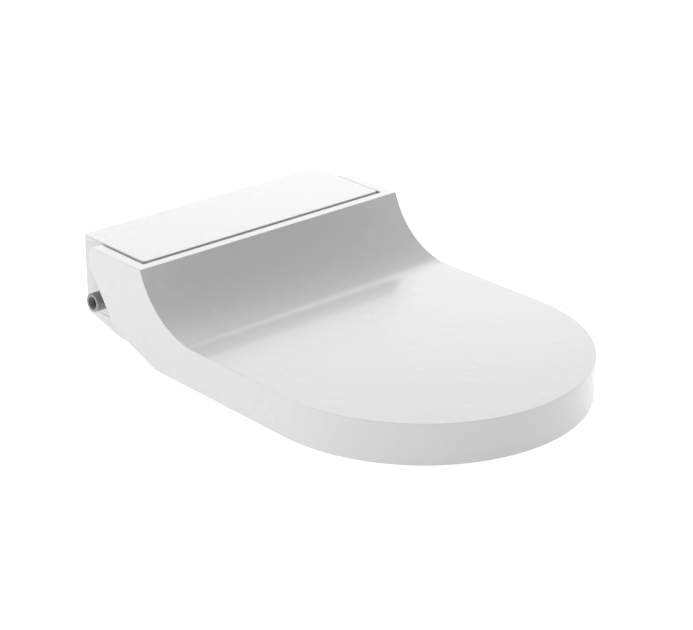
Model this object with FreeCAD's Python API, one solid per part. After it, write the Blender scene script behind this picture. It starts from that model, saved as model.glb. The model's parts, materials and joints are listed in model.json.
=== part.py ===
"""Electric bidet seat: a lid and a heated seat ring hinged on a rear housing that holds the
water, air and spray units, clipped on a mounting plate.

Millimetres. +Z is up, the seat's front points along -Y, and X is across. The origin is midway
between the two fixing holes, on the plane where the mounting plate and the seat's feet rest.
"""

import math
import os

import FreeCAD
import Part

V = FreeCAD.Vector

# Driving dimensions
overall_width = 360.0        # across the lid's cheeks
front_y = -445.0             # tip of the lid
rear_y = 89.0                # back of the housing and of the cover plate
skirt_z = 4.0                # lower edge of the lid's skirt
flat_z = 48.0                # top of the lid's flat part
rim_z = 110.3                # top of the lid's rim round the cover plate
plate_top_z = 111.6          # top of the cover plate

# Lid
lid_wall = 3.4
ramp_radius = 92.0           # hollow sweep from the flat part up to the rim
ramp_top_y = -34.5           # where the sweep meets the rim
rim_front = 10.8             # depth of the rim in front of the cover plate
rim_side = 12.5              # width of the rim beside the cover plate
cheek_rear_y = 58.0
cheek_corner = 8.0           # rounding of the cheek's upper rear corner
cheek_slant_top_z = 88.4     # the cheek's rear edge slants forward below this
cheek_notch_y = 18.5         # lower end of the slant, above the water inlet's notch
cheek_notch_z = 32.3
cheek_toe_y = -55.0          # where the skirt's lower edge starts to rise

# Hinge
hinge_y = 35.0
hinge_z = 89.0
pin_radius = 5.0
running = 0.1                # radial clearance of a turning fit
fixed = 0.02                 # radial clearance of a fit that doesn't move
boss_radius = 11.0
bush_wall = 3.0
pin_inner_x = 124.0          # the pins' inner ends, in the dampers
pin_end_wall = 1.8           # lid left outside a pin's outer end
damper_x = 118.0
damper_radius = 10.5

# Seat ring
seat_gap = 2.6               # between the lid and the seat inside it
seat_side_gap = 3.1
seat_wall = 2.8
seat_ramp_wall = 3.5
seat_base_z = 14.0
seat_base_wall = 3.0
rib_ys = (-210.0, -265.0, -320.0)
seat_ramp_top_z = 103.5
seat_rear_y = -109.0         # back of the bar behind the opening
seat_bar_z = 32.0            # underside of that bar, over the spray arm
seat_step_y = -140.0         # where the underside rises to it
opening_half_width = 108.0
opening_front_y = -377.0
opening_rear_y = -130.0
arm_thickness = 5.5
arm_gap = 2.5                # between the housing's side and the seat's hinge arm
arm_toe_y = -70.0            # lower corner of the hinge arm
arm_toe_z = 20.0
seat_feet = ((-95.0, -375.0), (95.0, -375.0), (-143.0, -190.0), (143.0, -190.0))
foot_half_width = 9.0
foot_half_depth = 16.0
foot_corner = 7.0
lid_pads = ((-128.0, -350.0), (128.0, -350.0), (-138.0, -170.0), (138.0, -170.0))
lid_pad_radius = 6.0
heater_edge = 12.0           # kept clear round the heater sheet
heater_thickness = 0.6

# Housing
housing_half_width = 163.0
housing_wall = 2.6
housing_gap = 3.5            # between the seat's ramp and the housing's front
nose_y = -106.0
deck_z = 107.2
base_z = 8.0
floor_z = 13.0
base_rise_y = 31.0           # the underside rises behind this
base_rear_z = 22.0
rear_floor = 3.0
part_z = 26.0                # top of the base tray's walls
gasket_thickness = 0.8
bezel_half_width = 150.0
bezel_top_z = 33.5
screw_pillar_top = 50.0
screw_pillar_radius = 4.5
screw_half_x = 156.4
screw_ys = (-92.0, -10.0, 78.0)
screw_head_radius = 3.1
screw_shank_radius = 1.2

# Cover plate
plate_thickness = 4.0
plate_half_width = 165.0
plate_front_y = -21.0
plate_corner = 4.0
plate_travel = 12.0
plate_edge = 0.8
clip_xs = (-130.0, 0.0, 130.0)
clip_ys = (-8.0, 66.0)
clip_half_width = 3.5

# Mounting plate
fixing_spacing = 155.0
fixing_hole_radius = 4.25
mount_half_width = 97.0
mount_height = 9.6
mount_foot_half_width = 88.0
mount_foot_height = 4.0
mount_front_y = -38.0
mount_rear_y = 42.0
mount_clearance = 0.8
mount_corner = 6.0
bush_half_width = 9.0
bush_half_depth = 12.0
slot_half_depth = 17.0
washer_seat_radius = 7.5
washer_seat_z = 4.6
rail_low_z = 1.2
rail_length = 20.0
rail_ys = (-30.0, 10.0)

# Spray arm, on an axis that falls towards the front
spray_tilt = 15.0
spray_exit_z = 21.0
spray_radius = 6.5
spray_bore = 3.5
spray_length = 174.0
head_length = 28.0
gear_module = 1.0
pinion_teeth = 14
pinion_s = 100.0             # along the arm's axis from its exit
gear_half_width = 3.2
tooth_backlash = 0.16
rack_pitch_x = 11.0          # from the arm's axis to the rack's pitch line
rack_start_s = pinion_s - 5.0
rack_root_depth = 1.15       # in modules
guide_wall = 1.8
guide_low = -8.3
guide_right_x = 14.4

# Water inlet, a half-inch parallel male thread
inlet_radius = 10.48
inlet_bore = 7.0
inlet_end_x = -181.0
inlet_y = 54.8
inlet_z = 45.8
flange_radius = 14.0
valve_x0, valve_x1 = -150.0, -118.0
valve_z0, valve_z1 = 32.0, 58.0
valve_half_depth = 13.0
coil_x = -134.0
coil_radius = 12.0
coil_z0, coil_z1 = 61.2, 76.0
plunger_radius = 4.0
plunger_low = 51.5
plunger_top = 69.0
sleeve_top = 78.0
sensor_length = 22.0
sensor_radius = 9.0
port_radius = 4.5
port_bore = 3.0

# Water heater, pump, vacuum breaker and hoses
tank_x0, tank_x1 = -150.0, -100.0
tank_y0, tank_y1 = -26.0, 24.0
tank_z0, tank_z1 = 14.0, 66.0
tank_corner = 8.0
tank_inlet_x, tank_inlet_y = -112.0, 14.0
pump_y, pump_z = -2.0, 30.0
pump_radius = 16.0
pump_motor_radius = 15.0
pump_x0, pump_x1, pump_x2 = -86.0, -76.0, -34.0
pump_port_x = -81.0
tank_outlet_z = 28.0
breaker_x, breaker_y = -58.0, 74.0
breaker_radius = 11.0
breaker_z0, breaker_z1, breaker_top_z = 44.0, 52.0, 80.0
hose_radius = 4.0
spray_hose_radius = 3.5

# Dryer and odour filter
air_duct_wall = 1.6
air_duct_top_z = 30.6
air_duct_low_z = 14.4
dryer_x0, dryer_x1 = 42.0, 78.0
flap_z = 27.6
flap_pin_radius = 0.7
fan_x, fan_y = 72.0, 48.0
fan_radius = 34.0
fan_z0, fan_z1 = 31.0, 60.0
fan_shaft_radius = 2.0
fan_casing_wall = 1.8
dryer_motor_radius = 14.0
dryer_fins = 9
odour_x0, odour_x1 = 116.0, 148.0
odour_fan_x, odour_fan_y = 133.0, 8.0
odour_fan_radius = 24.0
odour_z0, odour_z1 = 46.0, 66.0
odour_motor_radius = 11.0
odour_slots = 8
odour_slot_pitch = 3.4
filter_x0 = 112.0
filter_y0, filter_y1 = 62.0, 84.0
filter_z0, filter_z1 = 68.0, 100.0
filter_cell_pitch = 5.2

# Electrics
board_x0, board_x1 = -108.0, 106.0
board_y0, board_y1 = -6.0, 80.0
board_z = 88.0
board_thickness = 1.6
supply_x0, supply_x1 = -54.0, -18.0
supply_y0, supply_y1 = 18.0, 58.0
supply_z0, supply_z1 = 22.0, 56.0
socket_x0 = 140.0
socket_y0, socket_y1 = 34.0, 60.0
socket_z0, socket_z1 = 29.0, 49.0
button_radius = 4.5
button_z = 61.0
power_key_y, arm_key_y = 64.0, 77.0
lead_radius = 2.4
light_x0, light_x1 = -92.0, -62.0

button_travel = 2.0

half = overall_width / 2
ramp_y = ramp_top_y - math.sqrt(ramp_radius**2 - (ramp_radius - rim_z + flat_z) ** 2)
ramp_z = flat_z + ramp_radius
seat_half = half - lid_wall - seat_side_gap
seat_top_z = flat_z - lid_wall - seat_gap
seat_ramp_radius = ramp_z - seat_top_z
front_radius = seat_ramp_radius + seat_ramp_wall + housing_gap
pitch_radius = gear_module * pinion_teeth / 2
in_half = housing_half_width - housing_wall
in_rear_y = rear_y - housing_wall
in_top_z = deck_z - housing_wall
tilt = math.radians(spray_tilt)


# Shape helpers

def block(x0, x1, y0, y1, z0, z1):
    """A box between two corners."""
    return Part.makeBox(x1 - x0, y1 - y0, z1 - z0, V(x0, y0, z0))


def rod(radius, start, end):
    """A cylinder between two points."""
    a, b = V(*start), V(*end)
    return Part.makeCylinder(radius, (b - a).Length, a, b - a)


def ring(outer, inner, start, end):
    """A tube between two points."""
    a, b = V(*start), V(*end)
    reach = (b - a).normalize() * 0.5
    hole = Part.makeCylinder(inner, V(*end).sub(a).Length + 1.0, a - reach, reach)
    return rod(outer, start, end).cut(hole)


def joined(shapes):
    """One solid from touching shapes."""
    whole = shapes[0]
    for shape in shapes[1:]:
        whole = whole.fuse(shape)
    return whole.removeSplitter()


def group(shapes):
    """Separate solids in one node."""
    return Part.makeCompound(shapes)


def outline(start, steps, place):
    """A closed face. Each step is a point, or (point on the arc, arc's end)."""
    edges = []
    here = place(*start)
    for step in [*steps, start]:
        if isinstance(step[0], tuple):
            on_arc, end = place(*step[0]), place(*step[1])
            edges.append(Part.Arc(here, on_arc, end).toShape())
        else:
            end = place(*step)
            if (end - here).Length < 1e-6:
                continue
            edges.append(Part.LineSegment(here, end).toShape())
        here = end
    return Part.Face(Part.Wire(edges))


def side_prism(start, steps, x0, x1):
    """A side profile in Y and Z, drawn out along X."""
    return outline(start, steps, lambda y, z: V(x0, y, z)).extrude(V(x1 - x0, 0, 0))


def plan_prism(start, steps, z0, z1):
    """A plan outline in X and Y, drawn out along Z."""
    return outline(start, steps, lambda x, y: V(x, y, z0)).extrude(V(0, 0, z1 - z0))


def mirrored(shape):
    """The same shape on the other side."""
    return shape.mirror(V(0, 0, 0), V(1, 0, 0))


def rounded_block(x0, x1, y0, y1, z0, z1, radius):
    """A box with its four upright edges rounded."""
    shape = block(x0, x1, y0, y1, z0, z1)
    upright = [e for e in shape.Edges if abs(e.tangentAt(e.FirstParameter).z) > 0.99]
    return shape.makeFillet(radius, upright)


def bent_pipe(radius, points, bend):
    """A hose of straight runs joined by tangent arcs of one bend radius."""
    corners = [V(*p) for p in points]
    edges = []
    here = corners[0]
    for before, corner, after in zip(corners, corners[1:], corners[2:]):
        back = (before - corner).normalize()
        on = (after - corner).normalize()
        half_turn = back.getAngle(on) / 2
        reach = bend / math.tan(half_turn)
        middle = (back + on).normalize()
        arc_start = corner + back * reach
        arc_end = corner + on * reach
        arc_middle = corner + middle * (bend / math.sin(half_turn) - bend)
        edges.append(Part.LineSegment(here, arc_start).toShape())
        edges.append(Part.Arc(arc_start, arc_middle, arc_end).toShape())
        here = arc_end
    edges.append(Part.LineSegment(here, corners[-1]).toShape())
    path = Part.Wire(edges)
    section = Part.Wire(Part.makeCircle(radius, corners[0], corners[1] - corners[0]))
    return path.makePipeShell([section], True, False)


def along_arm(shape):
    """From the spray arm's own frame (Y back along the arm, Z square to it) to the model's."""
    shape.rotate(V(0, 0, 0), V(1, 0, 0), spray_tilt)
    shape.translate(V(0, nose_y, spray_exit_z))
    return shape


def on_arm(s):
    """The point on the spray arm's axis at s behind its exit."""
    return (0.0, nose_y + s * math.cos(tilt), spray_exit_z + s * math.sin(tilt))


def ramp_at(radius, z):
    """The Y where the sweep of that radius is at height z."""
    return ramp_y + math.sqrt(radius**2 - (ramp_z - z) ** 2)


def sweep(radius, y0, z1):
    """The sweep from its height at y0 up to height z1, as (start, (middle, end))."""
    start = (y0, ramp_z - math.sqrt(radius**2 - (y0 - ramp_y) ** 2))
    end = (ramp_at(radius, z1), z1)
    a0 = math.atan2(start[1] - ramp_z, start[0] - ramp_y)
    a1 = math.atan2(end[1] - ramp_z, end[0] - ramp_y)
    mid = (a0 + a1) / 2
    middle = (ramp_y + radius * math.cos(mid), ramp_z + radius * math.sin(mid))
    return start, (middle, end)


def round_front(half_width, tip_y, back_y, z0, z1):
    """Straight sides with a half-round front end."""
    centre_y = tip_y + half_width
    steps = [(-half_width, centre_y), ((0, tip_y), (half_width, centre_y)), (half_width, back_y)]
    return plan_prism((-half_width, back_y), steps, z0, z1)


def seat_opening(grow, z0, z1):
    """The seat's egg-shaped opening, grown all round by a wall."""
    w = opening_half_width + grow
    tip = opening_front_y - grow
    back = opening_rear_y + grow
    shoulder_y = opening_rear_y - 44.0
    front_centre = opening_front_y + opening_half_width
    steps = [
        (-w, front_centre),
        ((0, tip), (w, front_centre)),
        (w, shoulder_y),
        ((0.82 * w, back - 12.0), (0.45 * w, back)),
        (-0.45 * w, back),
        ((-0.82 * w, back - 12.0), (-w, shoulder_y)),
    ]
    return plan_prism((-w, shoulder_y), steps, z0, z1)


# Lid

def lid_profile(inset, rear, open_below):
    """Side view of the lid, or of the hollow inside it when inset is its wall."""
    top, rim, radius = flat_z - inset, rim_z - inset, ramp_radius + inset
    start, arc = sweep(radius, ramp_y, rim)
    if open_below:
        steps = [(front_y, top), start, arc, (rear, rim), (rear, -5.0)]
        return side_prism((front_y, -5.0), steps, -half, half)
    diagonal = cheek_corner * (1 - math.sqrt(0.5))
    corner = ((rear - diagonal, rim - diagonal), (rear, rim - cheek_corner))
    notch = ((cheek_notch_y - 10.0, cheek_notch_z - 7.5), (cheek_notch_y - 24.0, 20.5))
    steps = [
        (front_y, top), start, arc, (rear - cheek_corner, rim), corner,
        (rear, cheek_slant_top_z), (cheek_notch_y, cheek_notch_z), notch,
        (cheek_toe_y, skirt_z),
    ]
    return side_prism((front_y, skirt_z), steps, -half, half)


def lid_shell():
    outside = lid_profile(0, cheek_rear_y, False).common(
        round_front(half, front_y, cheek_rear_y, 0, rim_z))
    beyond = cheek_rear_y + 5.0
    inside = lid_profile(lid_wall, beyond, True).common(
        round_front(half - lid_wall, front_y + lid_wall, beyond, -5.0, rim_z))
    window = block(rim_side - half, half - rim_side, ramp_top_y + rim_front, beyond,
                   rim_z - lid_wall - 1, rim_z + 1)
    shell = outside.cut(inside).cut(window)
    boss_in = housing_half_width + arm_gap + arm_thickness + 0.6
    boss = rod(boss_radius, (boss_in, hinge_y, hinge_z), (half - 1.0, hinge_y, hinge_z))
    shell = joined([shell, boss, mirrored(boss)])
    for side, fit in ((-1, fixed), (1, running)):
        bore = rod(pin_radius + fit, (side * boss_in, hinge_y, hinge_z),
                   (side * (half - pin_end_wall), hinge_y, hinge_z))
        shell = shell.cut(bore)
    return shell


def lid_bumpers():
    pads = []
    for x, y in lid_pads:
        pads.append(rod(lid_pad_radius, (x, y, seat_top_z + 0.3), (x, y, flat_z - lid_wall)))
    return group(pads)


def lid_hinge_pin():
    inner = (-pin_inner_x, hinge_y, hinge_z)
    return rod(pin_radius, inner, (-(half - pin_end_wall), hinge_y, hinge_z))


# Seat

def seat_top():
    tip = front_y + lid_wall + seat_side_gap
    body = round_front(seat_half, tip, seat_rear_y, seat_base_z + seat_base_wall, seat_top_z)
    hollow = round_front(seat_half - seat_wall, tip + seat_wall, seat_rear_y - seat_wall,
                         seat_base_z, seat_top_z - seat_wall)
    hollow = hollow.cut(seat_opening(seat_wall, 0, seat_top_z))
    hollow = hollow.cut(block(-half, half, seat_step_y - seat_wall, 0, 0, seat_bar_z + seat_wall))
    under_bar = block(-half, half, seat_step_y, 0, 0, seat_bar_z)
    body = body.cut(hollow).cut(seat_opening(0, 0, seat_top_z + 1)).cut(under_bar)
    outer_start, outer_arc = sweep(seat_ramp_radius, ramp_y, seat_ramp_top_z)
    inner_radius = seat_ramp_radius + seat_ramp_wall
    inner_start, inner_arc = sweep(inner_radius, ramp_y, seat_ramp_top_z)
    ramp = side_prism(outer_start, [outer_arc, inner_arc[1], (inner_arc[0], inner_start)],
                      -seat_half, seat_half)
    arm_in = housing_half_width + arm_gap
    arm_start, arm_arc = sweep(seat_ramp_radius, ramp_y, seat_ramp_top_z)
    arm = side_prism(arm_start, [arm_arc, (hinge_y, seat_ramp_top_z - 3.0),
                                 (hinge_y, hinge_z - boss_radius), (arm_toe_y, arm_toe_z),
                                 (seat_step_y + 1, arm_toe_z), (seat_step_y + 1, seat_top_z)],
                     arm_in, arm_in + arm_thickness)
    boss = rod(boss_radius + 1, (arm_in, hinge_y, hinge_z),
               (arm_in + arm_thickness, hinge_y, hinge_z))
    shape = joined([body, ramp, arm, boss, mirrored(arm), mirrored(boss)])
    for side, fit in ((-1, running), (1, fixed)):
        shape = shape.cut(rod(pin_radius + fit, (side * (arm_in - 1), hinge_y, hinge_z),
                              (side * half, hinge_y, hinge_z)))
    return shape


def seat_base():
    tip = front_y + lid_wall + seat_side_gap
    plate = round_front(seat_half, tip, seat_step_y - 0.4, seat_base_z,
                        seat_base_z + seat_base_wall)
    plate = plate.cut(seat_opening(0, 0, seat_top_z))
    ribs = []
    centre_y = tip + seat_half
    for y in rib_ys:
        wall_x = math.sqrt((seat_half - seat_wall) ** 2 - min(y - centre_y, 0) ** 2)
        rib_end = min(seat_half - 24, wall_x - 12)
        for side in (-1, 1):
            x0, x1 = sorted((side * (opening_half_width + 8), side * rib_end))
            ribs.append(block(x0, x1, y - 1, y + 1, seat_base_z + seat_base_wall, 30.0))
    return joined([plate, *ribs])


def seat_heater():
    z1 = seat_top_z - seat_wall - 0.2
    tip = front_y + lid_wall + seat_side_gap
    sheet = round_front(seat_half - heater_edge, tip + heater_edge, seat_step_y - heater_edge,
                        z1 - heater_thickness, z1)
    return sheet.cut(seat_opening(10.0, 0, seat_top_z))


def seat_bumpers():
    feet = []
    for x, y in seat_feet:
        feet.append(rounded_block(x - foot_half_width, x + foot_half_width, y - foot_half_depth,
                                  y + foot_half_depth, 0, seat_base_z, foot_corner))
    return group(feet)


def seat_hinge_pin():
    return rod(pin_radius, (pin_inner_x, hinge_y, hinge_z), (half - pin_end_wall, hinge_y, hinge_z))


# Housing shells

def base_slope(y):
    """Height of the housing's underside at y."""
    if y <= base_rise_y:
        return base_z
    return base_z + (y - base_rise_y) * (base_rear_z - base_z) / (rear_y - base_rise_y)


def base_tray():
    w = housing_half_width
    body = side_prism((nose_y, base_z), [(nose_y, part_z), (rear_y, part_z),
                                         (rear_y, base_rear_z), (base_rise_y, base_z)], -w, w)
    inside = side_prism((nose_y + housing_wall, floor_z),
                        [(nose_y + housing_wall, part_z + 1), (in_rear_y, part_z + 1),
                         (in_rear_y, base_slope(in_rear_y) + rear_floor),
                         (base_rise_y + 8.0, floor_z)], -in_half, in_half)
    pocket_half = mount_half_width + 11.0
    pocket = block(-pocket_half, pocket_half, mount_front_y - 9, rear_y + 1, 0,
                   mount_height + mount_clearance)
    window = block(-bezel_half_width, bezel_half_width, nose_y - 1, nose_y + housing_wall + 1,
                   floor_z, part_z + 1)
    body = body.cut(inside).cut(pocket).cut(window)
    pieces = [body]
    for x0 in (mount_half_width + 1.5, -mount_half_width - 8.0):
        for y0 in rail_ys:
            pieces.append(block(x0, x0 + 6.5, y0, y0 + rail_length, rail_low_z,
                                mount_height + 2.0))
    lip_in = mount_foot_half_width + mount_clearance + 0.4
    for side in (-1, 1):
        x0, x1 = sorted((side * lip_in, side * (mount_half_width + 4)))
        for y0 in rail_ys:
            pieces.append(block(x0, x1, y0, y0 + rail_length, rail_low_z,
                                mount_foot_height - mount_clearance))
    for x, y in screw_places():
        pieces.append(rod(screw_pillar_radius, (x, y, base_slope(y) + 2.0), (x, y, part_z)))
    tray = joined(pieces)
    for x, y in screw_places():
        tray = tray.cut(rod(1.7, (x, y, 0), (x, y, part_z + 1)))
        tray = tray.cut(rod(3.4, (x, y, 0), (x, y, base_slope(y) + 2.6)))
    light = block(*light_span(0.15))
    return tray.cut(light)


def screw_places():
    """Places of the screws that join the two housing shells."""
    return [(x, y) for x in (-screw_half_x, screw_half_x) for y in screw_ys]


def light_span(grow):
    """The orientation light's box, grown all round by a clearance."""
    return (light_x0 - grow, light_x1 + grow, nose_y + 5.0 - grow, nose_y + 13.0 + grow,
            base_z - 1.0, floor_z + 1.0)


def pillar_top(y):
    """Top of a screw pillar at y, just inside the swept front or no higher than needed."""
    reach = (front_radius + 1.0) ** 2 - (y - ramp_y) ** 2
    if reach <= 0:
        return screw_pillar_top
    return min(ramp_z - math.sqrt(reach), screw_pillar_top)


def upper_cover():
    w = housing_half_width
    low = part_z + gasket_thickness
    start, arc = sweep(front_radius, nose_y, deck_z)
    body = side_prism((nose_y, low), [start, arc, (rear_y, deck_z), (rear_y, low)], -w, w)
    in_start, in_arc = sweep(front_radius + housing_wall, nose_y + housing_wall, in_top_z)
    inside = side_prism((nose_y + housing_wall, low - 1),
                        [in_start, in_arc, (in_rear_y, in_top_z), (in_rear_y, low - 1)],
                        -in_half, in_half)
    window = block(-bezel_half_width, bezel_half_width, nose_y - 1, nose_y + housing_wall + 1,
                   low - 1, bezel_top_z)
    body = body.cut(inside).cut(window)
    pieces = [body]
    for x, y in screw_places():
        pieces.append(rod(screw_pillar_radius, (x, y, low), (x, y, pillar_top(y))))
    for x, y in board_screw_places():
        pieces.append(rod(4.0, (x, y, board_z + board_thickness), (x, y, in_top_z)))
    cover = joined(pieces)
    for x, y in screw_places():
        cover = cover.cut(rod(1.25, (x, y, low - 1), (x, y, low + 4.5)))
    for x, y in board_screw_places():
        cover = cover.cut(rod(1.25, (x, y, board_z), (x, y, board_z + 10)))
    for side in (-1, 1):
        cover = cover.cut(rod(pin_radius + bush_wall + fixed, (side * (in_half - 1), hinge_y, hinge_z),
                              (side * (w + 1), hinge_y, hinge_z)))
    cover = cover.cut(rod(inlet_radius + 0.3, (-w - 1, inlet_y, inlet_z),
                          (-in_half + 1, inlet_y, inlet_z)))
    cover = cover.cut(block(in_half - 1, w + 1, *filter_slot(0.4)))
    cover = cover.cut(block(in_half - 1, w + 1, *power_slot(0.2)))
    for y in button_places():
        cover = cover.cut(rod(button_radius + 0.3, (in_half - 1, y, button_z),
                              (w + 1, y, button_z)))
    for x, y in clip_places():
        cover = cover.cut(block(x - 4.5, x + 4.5, y - 3.5, y + 3.5 + plate_travel,
                                in_top_z - 1, deck_z + 1))
    return cover


def housing_gasket():
    w = housing_half_width - 0.4
    outer = block(-w, w, nose_y + 0.4, rear_y - 0.4, part_z, part_z + gasket_thickness)
    inner = block(-in_half - 0.3, in_half + 0.3, nose_y + housing_wall - 0.3, in_rear_y + 0.3,
                  part_z - 1, part_z + 2)
    window = block(-bezel_half_width, bezel_half_width, nose_y - 1, nose_y + housing_wall + 1,
                   part_z - 1, part_z + 2)
    return outer.cut(inner).cut(window)


def front_bezel():
    y0, y1 = nose_y, nose_y + housing_wall
    w = bezel_half_width - 0.3
    panel = block(-w, w, y0, y1, floor_z + 0.2, bezel_top_z - 0.3)
    exit_hole = along_arm(rod(spray_radius + 1.2, (0, -9, 0), (0, 9, 0)))
    panel = panel.cut(exit_hole)
    panel = panel.cut(block(dryer_x0 + 2, dryer_x1 - 2, y0 - 1, y1 + 1, 16.0, 29.0))
    for i in range(odour_slots):
        x = odour_x0 + 4.0 + i * odour_slot_pitch
        panel = panel.cut(block(x, x + 1.8, y0 - 1, y1 + 1, 16.5, 29.0))
    y_pin = (y0 + y1) / 2
    return panel.cut(rod(flap_pin_radius + 0.05, (dryer_x0 - 0.5, y_pin, flap_z),
                         (dryer_x1 + 0.5, y_pin, flap_z)))


def housing_screws():
    screws = []
    for x, y in screw_places():
        head_z = base_slope(y) + 0.3
        head = rod(screw_head_radius, (x, y, head_z), (x, y, base_slope(y) + 2.6))
        shank = rod(screw_shank_radius, (x, y, head_z + 1), (x, y, part_z + gasket_thickness + 4.0))
        screws.append(joined([head, shank]))
    return group(screws)


def hinge_bushes():
    bushes = []
    for side in (-1, 1):
        inner = (side * (in_half - 0.4), hinge_y, hinge_z)
        outer = (side * (housing_half_width + 0.6), hinge_y, hinge_z)
        bushes.append(ring(pin_radius + bush_wall, pin_radius + running, inner, outer))
    return group(bushes)


def damper(side):
    """A soft-close damper's barrel; the hinge pin turns in it."""
    x0, x1 = side * damper_x, side * (in_half - 0.6)
    barrel = rod(damper_radius, (x0, hinge_y, hinge_z), (x1, hinge_y, hinge_z))
    lug = block(min(x0, x0 + side * 14), max(x0, x0 + side * 14), hinge_y - 16, hinge_y + 16,
                hinge_z - 3, hinge_z + 3)
    body = joined([barrel, lug])
    bore = rod(pin_radius + running, (side * (pin_inner_x - 1), hinge_y, hinge_z),
               (side * half, hinge_y, hinge_z))
    return body.cut(bore)


# Cover plate

def clip_places():
    return [(x, y) for x in clip_xs for y in clip_ys]


def cover_plate():
    z0 = plate_top_z - plate_thickness
    w = plate_half_width
    plate = rounded_block(-w, w, plate_front_y, rear_y, z0, plate_top_z, plate_corner)
    top = [e for e in plate.Edges if e.BoundBox.ZMin > plate_top_z - 0.01]
    return plate.makeFillet(plate_edge, top)


def plate_clips():
    z1 = plate_top_z - plate_thickness
    clips = []
    for x, y in clip_places():
        stem = block(x - clip_half_width, x + clip_half_width, y - 1.2, y + 1.2, in_top_z - 2.4, z1)
        foot = block(x - clip_half_width, x + clip_half_width, y - 2.8, y + 1.2, in_top_z - 2.4,
                     in_top_z - 0.5)
        clips.append(joined([stem, foot]))
    return group(clips)


# Mounting plate

def mounting_plate():
    foot = rounded_block(-mount_foot_half_width, mount_foot_half_width, mount_front_y,
                         mount_rear_y, 0, mount_foot_height, mount_corner)
    top = rounded_block(-mount_half_width, mount_half_width, mount_front_y, mount_rear_y,
                        mount_foot_height, mount_height, mount_corner)
    plate = joined([foot, top])
    for side in (-1, 1):
        x = side * fixing_spacing / 2
        slot = rounded_block(x - bush_half_width - 0.2, x + bush_half_width + 0.2,
                             -slot_half_depth, slot_half_depth, -1, mount_height + 1, mount_corner)
        plate = plate.cut(slot)
    for x0, x1 in ((-60.0, -22.0), (-19.0, 19.0), (22.0, 60.0)):
        plate = plate.cut(rounded_block(x0, x1, mount_front_y + 8, mount_rear_y - 8,
                                        2.5, mount_height + 1, 4.0))
    return plate


def fixing_bushes():
    bushes = []
    for side in (-1, 1):
        x = side * fixing_spacing / 2
        bush = rounded_block(x - bush_half_width, x + bush_half_width, -bush_half_depth,
                             bush_half_depth, 0, mount_height - 0.2, mount_corner - 0.2)
        bush = bush.cut(rod(fixing_hole_radius, (x, 0, -1), (x, 0, 12)))
        bushes.append(bush.cut(rod(washer_seat_radius, (x, 0, washer_seat_z), (x, 0, 12))))
    return group(bushes)


# Spray unit

def nozzle_head():
    body = rod(spray_radius, (0, 4, 0), (0, 4 + head_length, 0))
    dome = Part.makeSphere(spray_radius, V(0, 4, 0))
    dome = dome.cut(block(-9, 9, 4, 20, -9, 9)).cut(block(-9, 9, -9, -0.2, -9, 9))
    head = joined([body, dome])
    head = head.cut(rod(spray_bore, (0, 9, 0), (0, 40, 0)))
    flat = block(-4.5, 4.5, 7, 24, spray_radius - 0.9, 8)
    head = head.cut(flat)
    for i in range(3):
        for x in (-1.5, 1.5):
            hole = rod(0.6, (x, 11.0 + 3.5 * i, 0), (x, 11.0 + 3.5 * i, 8))
            head = head.cut(hole)
    return along_arm(head)


def spray_tube():
    tube = ring(spray_radius, spray_bore, (0, 4 + head_length, 0), (0, spray_length, 0))
    barb = ring(spray_bore + 1.2, spray_bore - 1.5, (0, spray_length, 0), (0, spray_length + 8, 0))
    return along_arm(joined([tube, barb]))


def rack_tooth(s):
    """One rack tooth, centred at s along the arm, pointing to +X."""
    pitch_x = rack_pitch_x
    root, tip = pitch_x - rack_root_depth * gear_module, pitch_x + 0.72 * gear_module
    slope = math.tan(math.radians(20.0))
    base = math.pi * gear_module / 4 - tooth_backlash / 2
    at_root, at_tip = base + (pitch_x - root) * slope, base - (tip - pitch_x) * slope
    points = [(root - 0.4, s - at_root), (root - 0.4, s + at_root), (root, s + at_root),
              (tip, s + at_tip), (tip, s - at_tip), (root, s - at_root)]
    return plan_prism(points[0], points[1:], -gear_half_width, gear_half_width)


def spray_rack():
    root = rack_pitch_x - rack_root_depth * gear_module
    web = block(spray_radius - 1.0, root, rack_start_s - 3, spray_length - 1,
                -gear_half_width, gear_half_width)
    tube = rod(spray_radius, (0, 0, 0), (0, spray_length + 5, 0))
    pieces = [web.cut(tube)]
    step = math.pi * gear_module
    first = math.ceil((rack_start_s - pinion_s) / step)
    last = math.floor((spray_length - 3 - pinion_s) / step)
    for i in range(first, last + 1):
        pieces.append(rack_tooth(pinion_s + i * step))
    return along_arm(joined(pieces))


def involute(radius_base, radius):
    """The polar angle of an involute at a radius."""
    roll = math.sqrt(max((radius / radius_base) ** 2 - 1, 0))
    return roll - math.atan(roll)


def drive_pinion():
    base = pitch_radius * math.cos(math.radians(20.0))
    tip, root = pitch_radius + 0.8 * gear_module, pitch_radius - 1.1 * gear_module
    step = 2 * math.pi / pinion_teeth
    half_tooth = step / 4 - tooth_backlash / 2 / pitch_radius
    radii = [base, (base + pitch_radius) / 2, pitch_radius, tip]
    turn = half_tooth + involute(base, pitch_radius)
    pieces = [rod(root, (0, 0, -gear_half_width), (0, 0, gear_half_width))]
    for i in range(pinion_teeth):
        centre = math.pi + step * (i + 0.5)
        flank = [(r, turn - involute(base, r)) for r in radii]
        ring_points = [(root - 0.5, turn), *flank]
        low = [(r * math.cos(centre - a), r * math.sin(centre - a)) for r, a in ring_points]
        high = [(r * math.cos(centre + a), r * math.sin(centre + a))
                for r, a in reversed(ring_points)]
        pieces.append(plan_prism(low[0], [*low[1:], *high], -gear_half_width, gear_half_width))
    gear = joined(pieces)
    shaft = rod(1.5, (0, 0, -15.0), (0, 0, gear_half_width + 1.5))
    pinion = joined([gear, shaft])
    pinion.translate(V(rack_pitch_x + pitch_radius, pinion_s, 0))
    return along_arm(pinion)


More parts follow.
